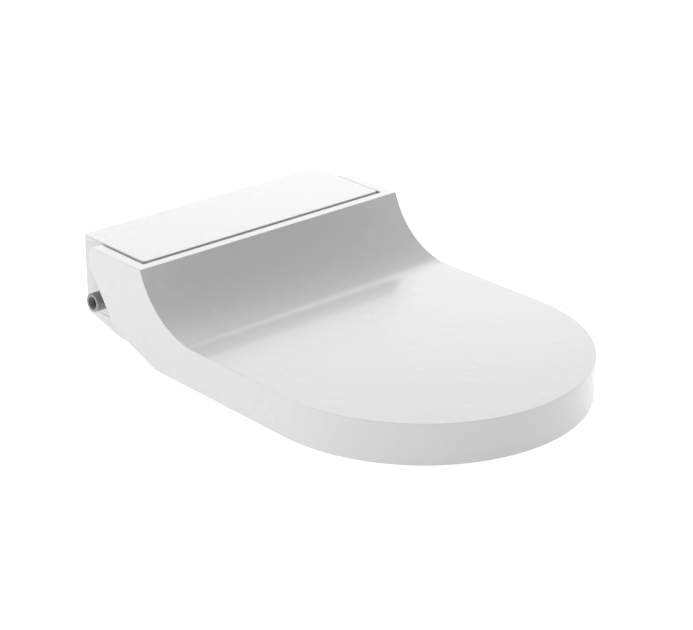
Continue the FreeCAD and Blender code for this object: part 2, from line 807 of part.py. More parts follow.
def nozzle_motor():
    x = rack_pitch_x + pitch_radius
    can = rod(12.0, (x, pinion_s, -19.0), (x, pinion_s, -6.5))
    collar = rod(4.5, (x, pinion_s, -6.5), (x, pinion_s, -5.0))
    ears = block(x - 2, x + 17, pinion_s - 4, pinion_s + 4, -8.0, -6.5)
    motor = joined([can, collar, ears])
    motor = motor.cut(rod(1.5 + running, (x, pinion_s, -15.5), (x, pinion_s, 0)))
    return along_arm(motor)


def nozzle_guide():
    low, high = guide_low, guide_low + 1.3
    floor = block(-10.0, 5.5, 5, spray_length - 4, low, high)
    wall = block(-10.0, -8.2, 5, spray_length - 4, low, 6.0)
    front_stay = block(5.5, guide_right_x, 5, pinion_s - 15, low, high)
    right_front = block(guide_right_x - guide_wall, guide_right_x, 5, pinion_s - 15, low, 6.0)
    collar = ring(spray_radius + 2.2, spray_radius + 0.4, (0, 6, 0), (0, 13, 0))
    keeper = block(-10.0, guide_right_x, 5, 13, low, high)
    pieces = [floor, wall, front_stay, right_front, collar, keeper]
    pieces.append(block(-10.0, -7.4, 5, 13, low, 6.0))
    rear_stay = block(5.5, guide_right_x, pinion_s + 15, spray_length - 4, low, high)
    right_rear = block(guide_right_x - guide_wall, guide_right_x, pinion_s + 15, spray_length - 4, low, 6.0)
    guide = joined([*pieces, rear_stay, right_rear])
    guide = guide.cut(rod(spray_radius + 0.4, (0, 0, 0), (0, spray_length, 0)))
    legs = []
    for s in (pinion_s + 30.0, spray_length - 30.0):
        y = nose_y + s * math.cos(tilt)
        z = spray_exit_z + s * math.sin(tilt) - 8.6
        leg = block(-9.8, -3.8, y - 3, y + 3, max(floor_z, base_slope(y) + rear_floor + 0.9), z)
        legs.append(leg)
    return joined([along_arm(guide), *legs])


# Water side

def water_inlet():
    shoulder_x = -in_half
    thread_end = -housing_half_width - 0.4
    threaded = rod(inlet_radius, (inlet_end_x, inlet_y, inlet_z), (thread_end, inlet_y, inlet_z))
    neck = rod(inlet_radius - 0.4, (thread_end, inlet_y, inlet_z), (shoulder_x, inlet_y, inlet_z))
    flange = rod(flange_radius, (shoulder_x + 0.2, inlet_y, inlet_z),
                 (shoulder_x + 4.4, inlet_y, inlet_z))
    tail = rod(inlet_radius - 1.5, (shoulder_x, inlet_y, inlet_z), (valve_x0, inlet_y, inlet_z))
    body = joined([threaded, neck, flange, tail])
    return body.cut(rod(inlet_bore, (inlet_end_x - 1, inlet_y, inlet_z),
                        (valve_x0 + 1, inlet_y, inlet_z)))


def inlet_strainer():
    x0 = inlet_end_x + 6.0
    cup = ring(inlet_bore - 0.1, inlet_bore - 1.4, (x0, inlet_y, inlet_z),
               (x0 + 16, inlet_y, inlet_z))
    end = rod(inlet_bore - 0.1, (x0 + 16, inlet_y, inlet_z), (x0 + 17, inlet_y, inlet_z))
    return joined([cup, end])


def inlet_valve():
    body = block(valve_x0 + 0.1, valve_x1, inlet_y - valve_half_depth, inlet_y + valve_half_depth,
                 valve_z0, valve_z1)
    neck = rod(9.0, (coil_x, inlet_y, valve_z1), (coil_x, inlet_y, valve_z1 + 3))
    sleeve = rod(plunger_radius + 1.3, (coil_x, inlet_y, valve_z1), (coil_x, inlet_y, sleeve_top))
    outlet = rod(6.0, (valve_x1, inlet_y, inlet_z), (valve_x1 + 6, inlet_y, inlet_z))
    valve = joined([body, neck, sleeve, outlet])
    valve = valve.cut(rod(port_radius, (valve_x0 - 1, inlet_y, inlet_z),
                          (valve_x1 + 7, inlet_y, inlet_z)))
    return valve.cut(rod(plunger_radius + running, (coil_x, inlet_y, inlet_z),
                         (coil_x, inlet_y, sleeve_top - 0.8)))


def valve_coil():
    return ring(coil_radius, plunger_radius + 1.5, (coil_x, inlet_y, coil_z0),
                (coil_x, inlet_y, coil_z1))


def valve_plunger():
    return rod(plunger_radius, (coil_x, inlet_y, plunger_low), (coil_x, inlet_y, plunger_top))


def valve_spring():
    wire, coil = 0.4, plunger_radius - 0.7
    low, high = plunger_top + wire, sleeve_top - 0.8 - wire
    helix = Part.makeHelix((high - low) / 4.5, high - low, coil)
    corners = [V(coil + a * wire, 0, b * wire) for a, b in ((-1, -1), (1, -1), (1, 1), (-1, 1))]
    section = Part.makePolygon([*corners, corners[0]])
    spring = Part.Wire(helix).makePipeShell([section], True, True)
    spring.translate(V(coil_x, inlet_y, low))
    return spring


def flow_sensor():
    x0 = valve_x1 + 6.1
    x1 = x0 + sensor_length
    body = rod(sensor_radius, (x0, inlet_y, inlet_z), (x1, inlet_y, inlet_z))
    lid = block(x0 + 5, x0 + 17, inlet_y - 7, inlet_y + 7, inlet_z + 5, inlet_z + 12)
    port = rod(port_radius, (x1, inlet_y, inlet_z), (x1 + 8, inlet_y, inlet_z))
    sensor = joined([body, lid, port])
    return sensor.cut(rod(port_bore, (x0 - 1, inlet_y, inlet_z), (x1 + 9, inlet_y, inlet_z)))


def water_heater():
    x, y = tank_inlet_x, tank_inlet_y
    tank = rounded_block(tank_x0, tank_x1, tank_y0, tank_y1, tank_z0, tank_z1, tank_corner)
    inlet = rod(port_radius, (x, y, tank_z1), (x, y, tank_z1 + 8))
    outlet = rod(port_radius, (tank_x1, pump_y, tank_outlet_z),
                 (tank_x1 + 7, pump_y, tank_outlet_z))
    terminals = block(tank_x0 + 8, tank_x0 + 28, pump_y - 12, pump_y + 4, tank_z1, tank_z1 + 6)
    heater = joined([tank, inlet, outlet, terminals])
    bore = rod(port_bore, (x, y, tank_z1 - 6), (x, y, tank_z1 + 9))
    return heater.cut(bore).cut(rod(port_bore, (tank_x1 - 6, pump_y, tank_outlet_z),
                                    (tank_x1 + 8, pump_y, tank_outlet_z)))


def water_pump():
    motor = rod(pump_motor_radius, (pump_x1, pump_y, pump_z), (pump_x2, pump_y, pump_z))
    pump_end = rod(pump_radius, (pump_x0, pump_y, pump_z), (pump_x1, pump_y, pump_z))
    port = rod(hose_radius, (pump_port_x, pump_y, pump_z + 14), (pump_port_x, pump_y, pump_z + 24))
    foot = block(pump_x1 + 2, pump_x2 - 6, pump_y - 10, pump_y + 10, floor_z + 0.1, pump_z - 12)
    return joined([motor, pump_end, port, foot])


def vacuum_breaker():
    x, y = breaker_x, breaker_y
    cup = rod(breaker_radius, (x, y, breaker_z1), (x, y, breaker_top_z))
    neck = rod(port_radius, (x, y, breaker_z0), (x, y, breaker_z1))
    side = rod(hose_radius, (x, y, breaker_z1 + 14), (x, y - 14.0, breaker_z1 + 14))
    foot = block(x - 4, x + 4, y - 4, y + 4, base_slope(y + 4) + rear_floor + 0.1, breaker_z0)
    return joined([cup, neck, side, foot])


def water_hoses():
    x, y = tank_inlet_x, tank_inlet_y
    x0 = valve_x1 + 6.1 + sensor_length + 8.2
    points = [(x0, inlet_y, inlet_z), (-69.0, inlet_y, inlet_z), (-70.0, 28.0, 62.0),
              (-92.0, 16.0, tank_z1 + 12.0), (x, y, tank_z1 + 16.0), (x, y, tank_z1 + 8.2)]
    supply = bent_pipe(hose_radius, points, 4.5)
    link = rod(hose_radius, (tank_x1 + 7.1, pump_y, tank_outlet_z),
               (pump_x0 - 0.1, pump_y, tank_outlet_z))
    return group([supply, link])


def spray_hose():
    barb_end = on_arm(spray_length + 8.2)
    run_out = on_arm(spray_length + 16.0)
    points = [(pump_port_x, pump_y, pump_z + 24.2), (pump_port_x, pump_y, 66.0),
              (-66.0, 20.0, 79.0), (-30.0, 40.0, 82.5),
              (-8.0, 66.0, 83.0), (0.0, run_out[1] + 1.0, 80.0), run_out, barb_end]
    return bent_pipe(spray_hose_radius, points, 4.0)


# Air side

def dryer_duct():
    top, low, wall = air_duct_top_z, air_duct_low_z, air_duct_wall
    mouth_y, fan_side_y = nose_y + 3.0, fan_y - fan_radius + 1.0
    outer = side_prism((fan_side_y, 57.0),
                       [(-26.0, 55.0), (-66.0, top), (mouth_y, top), (mouth_y, low),
                        (-38.0, low), (-8.0, 34.0), (fan_side_y, 34.0)], dryer_x0, dryer_x1)
    inner = side_prism((fan_side_y + 1.0, 55.4),
                       [(-25.5, 53.4), (-65.5, top - wall), (mouth_y - 1.0, top - wall),
                        (mouth_y - 1.0, low + wall), (-38.5, low + wall), (-8.5, 35.6),
                        (fan_side_y + 1.0, 35.6)], dryer_x0 + wall, dryer_x1 - wall)
    scroll = rod(fan_radius + 0.3, (fan_x, fan_y, fan_z0 - 1), (fan_x, fan_y, fan_z1 + 1))
    return outer.cut(inner).cut(scroll)


def fan_casing(x, y, radius, z0, z1, eye, outlet):
    """A radial fan's casing, open at its eye and at its outlet box."""
    wall = fan_casing_wall
    body = rod(radius, (x, y, z0), (x, y, z1))
    body = body.cut(rod(radius - wall, (x, y, z0 + wall), (x, y, z1 - wall)))
    body = body.cut(rod(eye, (x, y, z1 - wall - 1), (x, y, z1 + 1)))
    body = body.cut(rod(fan_shaft_radius + 0.4, (x, y, z0 - 1), (x, y, z0 + wall + 1)))
    return body.cut(outlet)


def impeller(x, y, radius, z0, z1, blades):
    """A squirrel-cage rotor with its hub and shaft."""
    disc = rod(radius, (x, y, z0), (x, y, z0 + 1.6))
    hub = rod(6.0, (x, y, z0), (x, y, z1 - 3))
    rim = ring(radius, radius - 1.6, (x, y, z1 - 2), (x, y, z1))
    pieces = [disc, hub, rim]
    for i in range(blades):
        blade = block(radius - 7.5, radius - 0.4, -0.6, 0.6, z0 + 0.5, z1 - 0.5)
        blade.rotate(V(radius - 0.4, 0, 0), V(0, 0, 1), 28.0)
        blade.rotate(V(0, 0, 0), V(0, 0, 1), 360.0 * i / blades)
        blade.translate(V(x, y, 0))
        pieces.append(blade)
    inside = rod(radius, (x, y, z0 - 12), (x, y, z1 + 1))
    rotor = joined(pieces).common(inside)
    shaft = rod(fan_shaft_radius, (x, y, z0 - 6.0), (x, y, z0 + 2))
    return joined([rotor, shaft])


def dryer_fan_housing():
    outlet = block(dryer_x0 + 8, dryer_x1 - 4, fan_y - fan_radius - 1, fan_y - fan_radius + 9,
                   36.0, 55.0)
    return fan_casing(fan_x, fan_y, fan_radius, fan_z0, fan_z1, 20.0, outlet)


def dryer_impeller():
    return impeller(fan_x, fan_y, fan_radius - 5.0, fan_z0 + 3.4, fan_z1 - 4.0, 24)


def dryer_motor():
    can = rod(dryer_motor_radius, (fan_x, fan_y, 20.5), (fan_x, fan_y, fan_z0 - 0.2))
    return can.cut(rod(fan_shaft_radius + running, (fan_x, fan_y, 27.0),
                       (fan_x, fan_y, fan_z0 + 1)))


def dryer_heater():
    x0, x1 = dryer_x0 + 2.2, dryer_x1 - 2.2
    frame_bars = [block(x0, x1, -6.0, 8.0, 37.0, 39.0), block(x0, x1, -6.0, 8.0, 52.0, 54.0)]
    fins = []
    count = dryer_fins
    for i in range(count):
        x = x0 + (x1 - x0 - 1.2) * i / (count - 1)
        fins.append(block(x, x + 1.2, -5.0, 7.0, 39.0, 52.0))
    return joined([*frame_bars, *fins])


def dryer_flap():
    y = nose_y + housing_wall / 2
    x0, x1 = dryer_x0 + 3.0, dryer_x1 - 3.0
    leaf = block(x0, x1, y - 0.9, y + 0.9, 16.4, flap_z)
    barrel = rod(1.2, (x0, y, flap_z), (x1, y, flap_z))
    pins = rod(flap_pin_radius, (x0 - 2.2, y, flap_z), (x1 + 2.2, y, flap_z))
    return joined([leaf, barrel, pins])


def odour_duct():
    top, low, wall = air_duct_top_z, air_duct_low_z, air_duct_wall
    mouth_y, rear = nose_y + 3.0, odour_fan_y - 22.0
    outer = side_prism((rear, 63.0),
                       [(rear - 12.0, 61.0), (rear - 56.0, top), (mouth_y, top), (mouth_y, low),
                        (rear - 44.0, low), (rear - 6.0, 49.0), (rear, 49.0)],
                       odour_x0, odour_x1)
    inner = side_prism((rear + 1, 61.4),
                       [(rear - 11.5, 59.4), (rear - 55.5, top - wall),
                        (mouth_y - 1.0, top - wall), (mouth_y - 1.0, low + wall),
                        (rear - 44.5, low + wall), (rear - 6.5, 50.6), (rear + 1, 50.6)],
                       odour_x0 + wall, odour_x1 - wall)
    scroll = rod(odour_fan_radius + 0.3, (odour_fan_x, odour_fan_y, odour_z0 - 16),
                 (odour_fan_x, odour_fan_y, odour_z1 + 24))
    return outer.cut(inner).cut(scroll)


def odour_fan_housing():
    outlet = block(odour_fan_x - 8, odour_fan_x + 8, odour_fan_y - 25, odour_fan_y - 16,
                   odour_z0 + 5, odour_z1 - 5)
    return fan_casing(odour_fan_x, odour_fan_y, odour_fan_radius, odour_z0, odour_z1, 13.0, outlet)


def odour_impeller():
    return impeller(odour_fan_x, odour_fan_y, odour_fan_radius - 4.0, odour_z0 + 3.4, odour_z1 - 3.4, 16)


def odour_motor():
    x, y = odour_fan_x, odour_fan_y
    can = rod(odour_motor_radius, (x, y, 33.0), (x, y, odour_z0 - 0.2))
    leg = block(x - 5, x + 5, y - 8, y + 8, floor_z + 0.1, 33.0)
    motor = joined([can, leg])
    return motor.cut(rod(fan_shaft_radius + running, (x, y, 42.0), (x, y, odour_z0 + 1)))


def filter_slot(grow):
    """The filter drawer's Y and Z span, grown by a clearance."""
    return (filter_y0 - grow, filter_y1 + grow, filter_z0 - grow, filter_z1 + grow)


def odour_filter():
    y0, y1, z0, z1 = filter_slot(0)
    drawer = block(filter_x0, housing_half_width + 0.2, y0, y1, z0, z1)
    drawer = drawer.cut(block(filter_x0 + 3, in_half - 3, y0 - 1, y1 + 1, z0 + 3, z1 - 3))
    grip = block(housing_half_width - 2.4, housing_half_width + 1, y0 + 5, y1 - 5, z0 + 5, z0 + 11)
    return drawer.cut(grip)


def filter_honeycomb():
    y0, y1, z0, z1 = filter_slot(0)
    core = block(filter_x0 + 3.2, in_half - 3.2, y0 + 1.5, y1 - 1.5, z0 + 3.2, z1 - 3.2)
    step = filter_cell_pitch
    across = int((in_half - 3.2 - (filter_x0 + 3.2) - 4) / step)
    up = int((z1 - z0 - 6.4 - 4) / step)
    for i in range(across):
        for k in range(up):
            x, z = filter_x0 + 7.0 + i * step, z0 + 7.2 + k * step
            core = core.cut(block(x - 2, x + 2, y0, y1, z - 2, z + 2))
    return core


# Electrics

def button_places():
    """Y places of the power key and the spray arm key."""
    return (power_key_y, arm_key_y)


def control_board():
    board = block(board_x0, board_x1, board_y0, board_y1, board_z, board_z + board_thickness)
    for x, y in board_screw_places():
        board = board.cut(rod(1.7, (x, y, board_z - 1), (x, y, board_z + 3)))
    return board


def board_screw_places():
    return [(x, y) for x in (board_x0 + 6, board_x1 - 6) for y in (board_y0 + 6, board_y1 - 5)]


def board_screws():
    screws = []
    for x, y in board_screw_places():
        head = rod(2.8, (x, y, board_z - 1.8), (x, y, board_z))
        shank = rod(screw_shank_radius, (x, y, board_z - 1), (x, y, board_z + 7))
        screws.append(joined([head, shank]))
    return group(screws)


def board_components():
    top = board_z + board_thickness
    sizes = [(-90.0, 20.0, 18.0, 14.0, 10.0), (-66.0, 20.0, 18.0, 14.0, 10.0),
             (-40.0, 14.0, 22.0, 22.0, 3.0), (-8.0, 30.0, 14.0, 30.0, 11.0),
             (20.0, 48.0, 12.0, 16.0, 9.0), (52.0, 10.0, 30.0, 10.0, 8.0)]
    parts = [block(x, x + w, y, y + d, top, top + h) for x, y, w, d, h in sizes]
    for x in (-84.0, -70.0, -56.0):
        parts.append(rod(5.0, (x, 60.0, top), (x, 60.0, top + 12)))
    return group(parts)


def power_supply():
    box = rounded_block(supply_x0, supply_x1, supply_y0, supply_y1, supply_z0, supply_z1, 3.0)
    fins = [block(x, x + 2, supply_y0 + 4, supply_y1 - 4, supply_z1, supply_z1 + 6)
            for x in (supply_x0 + 2 + 5 * i for i in range(7))]
    return joined([box, *fins])


def power_slot(grow):
    """The mains inlet's Y and Z span, grown by a clearance."""
    return (socket_y0 - grow, socket_y1 + grow, socket_z0 - grow, socket_z1 + grow)


def power_inlet():
    y0, y1, z0, z1 = power_slot(0)
    body = block(socket_x0, housing_half_width, y0, y1, z0, z1)
    well = block(socket_x0 + 7, housing_half_width + 1, y0 + 2, y1 - 2, z0 + 2, z1 - 2)
    body = body.cut(well)
    y_mid, z_mid = (y0 + y1) / 2, (z0 + z1) / 2
    blades = [block(socket_x0 + 6.5, socket_x0 + 19, y_mid + dy - 1.0, y_mid + dy + 1.0, z_mid + dz - 2.0,
                    z_mid + dz + 2.0) for dy, dz in ((-7.0, -1.5), (0.0, 2.0), (7.0, -1.5))]
    flange = block(housing_half_width, housing_half_width + 1.2, y0 - 3, y1 + 3, z0 - 2, z1 + 2)
    return joined([body, *blades, flange.cut(well)])


def mains_lead():
    points = [(socket_x0 - 0.2, 47.0, 36.0), (124.0, 47.0, 36.0), (112.0, 66.0, 28.0), (96.0, 83.0, 26.4),
              (40.0, 83.0, 26.6), (-20.0, 80.0, 36.0), (-36.0, 72.0, 40.0), (-36.0, 58.1, 40.0)]
    return bent_pipe(lead_radius, points, 6.0)


def side_button(y):
    """A round key that is pushed towards -X."""
    x1 = housing_half_width + 1.2
    cap = rod(button_radius, (in_half - 3.0, y, button_z), (x1, y, button_z))
    stem = rod(2.0, (in_half - 7.5, y, button_z), (in_half - 3.0, y, button_z))
    flange = rod(button_radius + 1.0, (in_half - 3.6, y, button_z), (in_half - 2.2, y, button_z))
    return joined([cap, stem, flange])


def power_button():
    return side_button(button_places()[0])


def arm_button():
    return side_button(button_places()[1])


def key_board():
    x1 = in_half - 7.5 - button_travel - 0.3
    y0, y1 = button_places()
    board = block(x1 - 5, x1 - 3.4, y0 - 7, y1 + 7, button_z - 9, button_z + 6)
    keys = [block(x1 - 3.4, x1, y - 3, y + 3, button_z - 3, button_z + 3) for y in (y0, y1)]
    post = block(x1 - 3.4, in_half, y0 + 2, y1 - 2, button_z - 9, button_z - 6)
    return joined([board, *keys, post])


def orientation_light():
    return block(*light_span(0)[:4], base_z - 0.4, floor_z + 0.6)


MAKERS = {
    "lid_shell": lid_shell, "lid_bumpers": lid_bumpers, "lid_hinge_pin": lid_hinge_pin,
    "seat_top": seat_top, "seat_base": seat_base, "seat_heater": seat_heater,
    "seat_bumpers": seat_bumpers, "seat_hinge_pin": seat_hinge_pin,
    "base_tray": base_tray, "upper_cover": upper_cover, "housing_gasket": housing_gasket,
    "front_bezel": front_bezel, "housing_screws": housing_screws, "hinge_bushes": hinge_bushes,
    "lid_damper": lambda: damper(-1), "seat_damper": lambda: damper(1),
    "cover_plate": cover_plate, "plate_clips": plate_clips,
    "mounting_plate": mounting_plate, "fixing_bushes": fixing_bushes,
    "nozzle_head": nozzle_head, "spray_tube": spray_tube, "spray_rack": spray_rack,
    "drive_pinion": drive_pinion, "nozzle_motor": nozzle_motor, "nozzle_guide": nozzle_guide,
    "water_inlet": water_inlet, "inlet_strainer": inlet_strainer, "inlet_valve": inlet_valve,
    "valve_coil": valve_coil, "valve_plunger": valve_plunger, "valve_spring": valve_spring,
    "flow_sensor": flow_sensor, "water_heater": water_heater, "water_pump": water_pump,
    "vacuum_breaker": vacuum_breaker, "water_hoses": water_hoses,
    "spray_hose": spray_hose, "dryer_duct": dryer_duct, "dryer_fan_housing": dryer_fan_housing,
    "dryer_impeller": dryer_impeller, "dryer_motor": dryer_motor, "dryer_heater": dryer_heater,
    "dryer_flap": dryer_flap, "odour_duct": odour_duct, "odour_fan_housing": odour_fan_housing,
    "odour_impeller": odour_impeller, "odour_motor": odour_motor, "odour_filter": odour_filter,
    "filter_honeycomb": filter_honeycomb, "control_board": control_board,
    "board_screws": board_screws,
    "board_components": board_components, "power_supply": power_supply,
    "power_inlet": power_inlet, "mains_lead": mains_lead, "power_button": power_button,
    "arm_button": arm_button, "key_board": key_board,
    "orientation_light": orientation_light,
}


def main():
    os.makedirs("parts", exist_ok=True)
    for name, maker in MAKERS.items():
        shape = maker()
        shape.exportStep(f"parts/{name}.step")
        print(name, len(shape.Solids), round(shape.Volume), shape.isValid())


main()
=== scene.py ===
"""The looks of an electric bidet seat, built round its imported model.

Metres. +Z is up, the seat's front points along -Y, and the water inlet is on the -X side.
"""

from __future__ import annotations

import json
import logging
import math
from dataclasses import dataclass
from enum import Enum
from typing import Any, Callable, Iterable, Sequence

import bmesh
import bpy
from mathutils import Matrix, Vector

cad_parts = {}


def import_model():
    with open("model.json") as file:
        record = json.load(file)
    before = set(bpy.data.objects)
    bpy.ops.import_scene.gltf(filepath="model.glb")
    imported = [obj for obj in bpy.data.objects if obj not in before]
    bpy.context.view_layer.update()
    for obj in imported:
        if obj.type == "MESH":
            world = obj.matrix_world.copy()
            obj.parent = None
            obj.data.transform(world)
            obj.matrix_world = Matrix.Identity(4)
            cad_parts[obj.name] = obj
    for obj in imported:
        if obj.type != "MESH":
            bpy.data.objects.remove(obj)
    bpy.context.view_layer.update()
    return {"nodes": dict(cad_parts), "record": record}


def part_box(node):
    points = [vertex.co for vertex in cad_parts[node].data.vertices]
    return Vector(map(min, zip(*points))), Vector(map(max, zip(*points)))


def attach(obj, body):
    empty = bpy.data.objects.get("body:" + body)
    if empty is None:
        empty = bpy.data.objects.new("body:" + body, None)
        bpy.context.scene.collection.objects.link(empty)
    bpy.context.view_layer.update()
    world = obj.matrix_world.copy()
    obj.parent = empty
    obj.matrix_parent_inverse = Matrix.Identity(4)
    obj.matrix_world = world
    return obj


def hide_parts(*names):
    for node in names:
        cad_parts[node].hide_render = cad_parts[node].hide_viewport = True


LOG = logging.getLogger("bidet_seat")
MM = 0.001
FLAT_ANGLE = math.radians(28.0)     # edges flatter than this aren't rounded
FACET_ANGLE = math.radians(0.5)     # faces flatter than this to each other become one
SAME_POINT = 1e-7                   # points of an outline this close are one
SAME_VERTEX = 2e-6                  # vertices of a cut or copied mesh this close are one
SLIVER = 1e-6                       # edges this short are dissolved
BEYOND = 5 * MM                     # a cutting solid goes this far past an open side
NEAR = 1 * MM                       # edges this close to a face count as on it


# Mesh kit


class Plane(Enum):
    """The plane an outline is drawn in, as its two directions and its normal."""

    PLAN = ((1, 0, 0), (0, 1, 0), (0, 0, 1))
    SIDE = ((0, 1, 0), (0, 0, 1), (1, 0, 0))
    FRONT = ((1, 0, 0), (0, 0, 1), (0, -1, 0))

    def at(self, u: float, v: float, depth: float = 0.0) -> Vector:
        """The point at u and v in the plane, and at depth along its normal."""
        across, up, normal = (Vector(d) for d in self.value)
        return across * u + up * v + normal * depth

    @property
    def normal(self) -> Vector:
        """The plane's normal."""
        return Vector(self.value[2])


class Join(Enum):
    """How a second shape changes a first."""

    ADD = "UNION"
    CUT = "DIFFERENCE"
    KEEP = "INTERSECT"


@dataclass(frozen=True)
class Bend:
    """An arc of an outline about a centre, anticlockwise in its plane when its angle is positive.

    Attributes:
        u: The centre's first coordinate in the plane.
        v: The centre's second coordinate.
        degrees: The arc's angle.
        steps: How many straight lines stand for it.
    """

    u: float
    v: float
    degrees: float
    steps: int = 24


Step = tuple[float, float] | Bend


def prism(plane: Plane, start: tuple[float, float], steps: Sequence[Step], low: float,
          high: float) -> bpy.types.Object:
    """Draws a closed outline and extrudes it along its plane's normal.

    Args:
        plane: The outline's plane.
        start: The outline's first point.
        steps: Points to go straight to, and arcs to follow.
        low: Where the shape starts along the normal.
        high: Where it ends.

    Returns:
        The solid, as a loose object.
    """
    bm = bmesh.new()
    first = here = bm.verts.new(plane.at(*start, low))
    for step in steps:
        if isinstance(step, Bend):
            spun = bmesh.ops.spin(bm, geom=[here], cent=plane.at(step.u, step.v, low),
                                  axis=plane.normal, angle=math.radians(step.degrees),
                                  steps=step.steps, dvec=(0, 0, 0))
            here = next(g for g in spun["geom_last"] if isinstance(g, bmesh.types.BMVert))
        else:
            ahead = bm.verts.new(plane.at(*step, low))
            bm.edges.new((here, ahead))
            here = ahead
    if (here.co - first.co).length > SAME_POINT:
        bm.edges.new((here, first))
    bmesh.ops.remove_doubles(bm, verts=bm.verts, dist=SAME_POINT)
    face = bmesh.ops.edgeloop_fill(bm, edges=bm.edges)["faces"]
    grown = bmesh.ops.extrude_face_region(bm, geom=face)["geom"]
    tops = [g for g in grown if isinstance(g, bmesh.types.BMVert)]
    bmesh.ops.translate(bm, verts=tops, vec=plane.normal * (high - low))
    return as_object(bm, "prism")


def slab(x: tuple[float, float], y: tuple[float, float], z: tuple[float, float],
         corner: float = 0.0) -> bpy.types.Object:
    """A box along the axes.

    Args:
        x: Its lower and upper limit in X.
        y: The same in Y.
        z: The same in Z.
        corner: Radius of its upright edges.

    Returns:
        The solid, as a loose object.
    """
    bm = bmesh.new()
    bmesh.ops.create_cube(bm, size=1.0)
    bmesh.ops.scale(bm, verts=bm.verts, vec=(x[1] - x[0], y[1] - y[0], z[1] - z[0]))
    middle = Vector((sum(x) / 2, sum(y) / 2, sum(z) / 2))
    bmesh.ops.translate(bm, verts=bm.verts, vec=middle)
    if corner > 0:
        upright = [e for e in bm.edges if abs((e.verts[0].co - e.verts[1].co).normalized().z) > 0.9]
        bmesh.ops.bevel(bm, geom=upright, offset=corner, affect="EDGES", segments=8,
                        profile=0.5, material=-1)
    return as_object(bm, "slab")


def lathe(points: Sequence[tuple[float, float]], base: Vector, axis: Vector,
          steps: int = 64) -> bpy.types.Object:
    """Turns a profile once about an axis.

    Args:
        points: The profile as (distance along the axis, radius), closed by the axis or by its
            own last point.
        base: The axis's zero point.
        axis: The axis's direction.
        steps: How many faces go round.

    Returns:
        The turned solid.
    """
    bm = bmesh.new()
    along = axis.normalized()
    aside = along.orthogonal().normalized()
    verts = [bm.verts.new(base + along * s + aside * r) for s, r in points]
    for a, b in zip(verts, verts[1:]):
        bm.edges.new((a, b))
    bmesh.ops.spin(bm, geom=[*bm.verts, *bm.edges], cent=base, axis=along, angle=math.tau,
                   steps=steps, dvec=(0, 0, 0), use_merge=True)
    bmesh.ops.remove_doubles(bm, verts=bm.verts, dist=SAME_POINT)
    return as_object(bm, "lathe")


def as_object(bm: bmesh.types.BMesh, name: str) -> bpy.types.Object:
    """Ends a mesh: turns its faces outwards and puts it in an object at the origin.

    Args:
        bm: The mesh, which is used up.
        name: The object's name.

    Returns:
        The object.
    """
    bmesh.ops.recalc_face_normals(bm, faces=bm.faces)
    mesh = bpy.data.meshes.new(name)
    bm.to_mesh(mesh)
    bm.free()
    thing = bpy.data.objects.new(name, mesh)
    bpy.context.scene.collection.objects.link(thing)
    return thing


def settle(thing: bpy.types.Object) -> bpy.types.Object:
    """Puts an object's live modifiers into its mesh.

    Args:
        thing: The object.

    Returns:
        The same object.
    """
    graph = bpy.context.evaluated_depsgraph_get()
    mesh = bpy.data.meshes.new_from_object(thing.evaluated_get(graph))
    thing.modifiers.clear()
    thing.data = mesh
    return thing


def combine(base: bpy.types.Object, how: Join, *others: bpy.types.Object) -> bpy.types.Object:
    """Adds, cuts or intersects other solids, which are used up.

    Args:
        base: The solid that is changed.
        how: What the others do to it.
        others: The other solids.

    Returns:
        The changed base.
    """
    for other in others:
        change = base.modifiers.new("join", "BOOLEAN")
        change.operation = how.value
        change.solver = "EXACT"
        change.object = other
    settle(base)
    for other in others:
        bpy.data.objects.remove(other)
    return base


def moulded(thing: bpy.types.Object, name: str, radius: float,
            weight: Callable[[bmesh.types.BMEdge], float] | None = None,
            segments: int = 3, clamp: bool = True) -> bpy.types.Object:
    """Cleans a solid's mesh, rounds its edges and smooths its shading.

    Args:
        thing: The solid.
        name: The piece's name.
        radius: The edge radius where an edge has all of it.
        weight: Gives an edge's share of that radius; without it every sharp edge has all of it.
        segments: How many faces round an edge.
        clamp: Whether short edges may hold the whole piece's rounding back, far under radius.

    Returns:
        The finished piece.
    """
    thing.name = thing.data.name = name
    bm = bmesh.new()
    bm.from_mesh(thing.data)
    bmesh.ops.remove_doubles(bm, verts=bm.verts, dist=SAME_VERTEX)
    bmesh.ops.dissolve_degenerate(bm, edges=bm.edges, dist=SLIVER)
    layer = bm.edges.layers.float.get("bevel_weight_edge")
    layer = layer or bm.edges.layers.float.new("bevel_weight_edge")
    for edge in bm.edges:
        sharp = edge.is_manifold and edge.calc_face_angle(0.0) > FLAT_ANGLE
        edge[layer] = (weight(edge) if weight else 1.0) if sharp else 0.0
    for face in bm.faces:
        face.smooth = True
    bm.to_mesh(thing.data)
    bm.free()
    if radius > 0:
        rounding = thing.modifiers.new("edges", "BEVEL")
        rounding.width = radius
        rounding.segments = segments
        rounding.limit_method = "WEIGHT"
        rounding.profile = 0.5
        rounding.miter_outer = "MITER_ARC"
        rounding.use_clamp_overlap = clamp
        rounding.harden_normals = False
    shading = thing.modifiers.new("shading", "WEIGHTED_NORMAL")
    shading.keep_sharp = True
    shading.weight = 60
    return thing


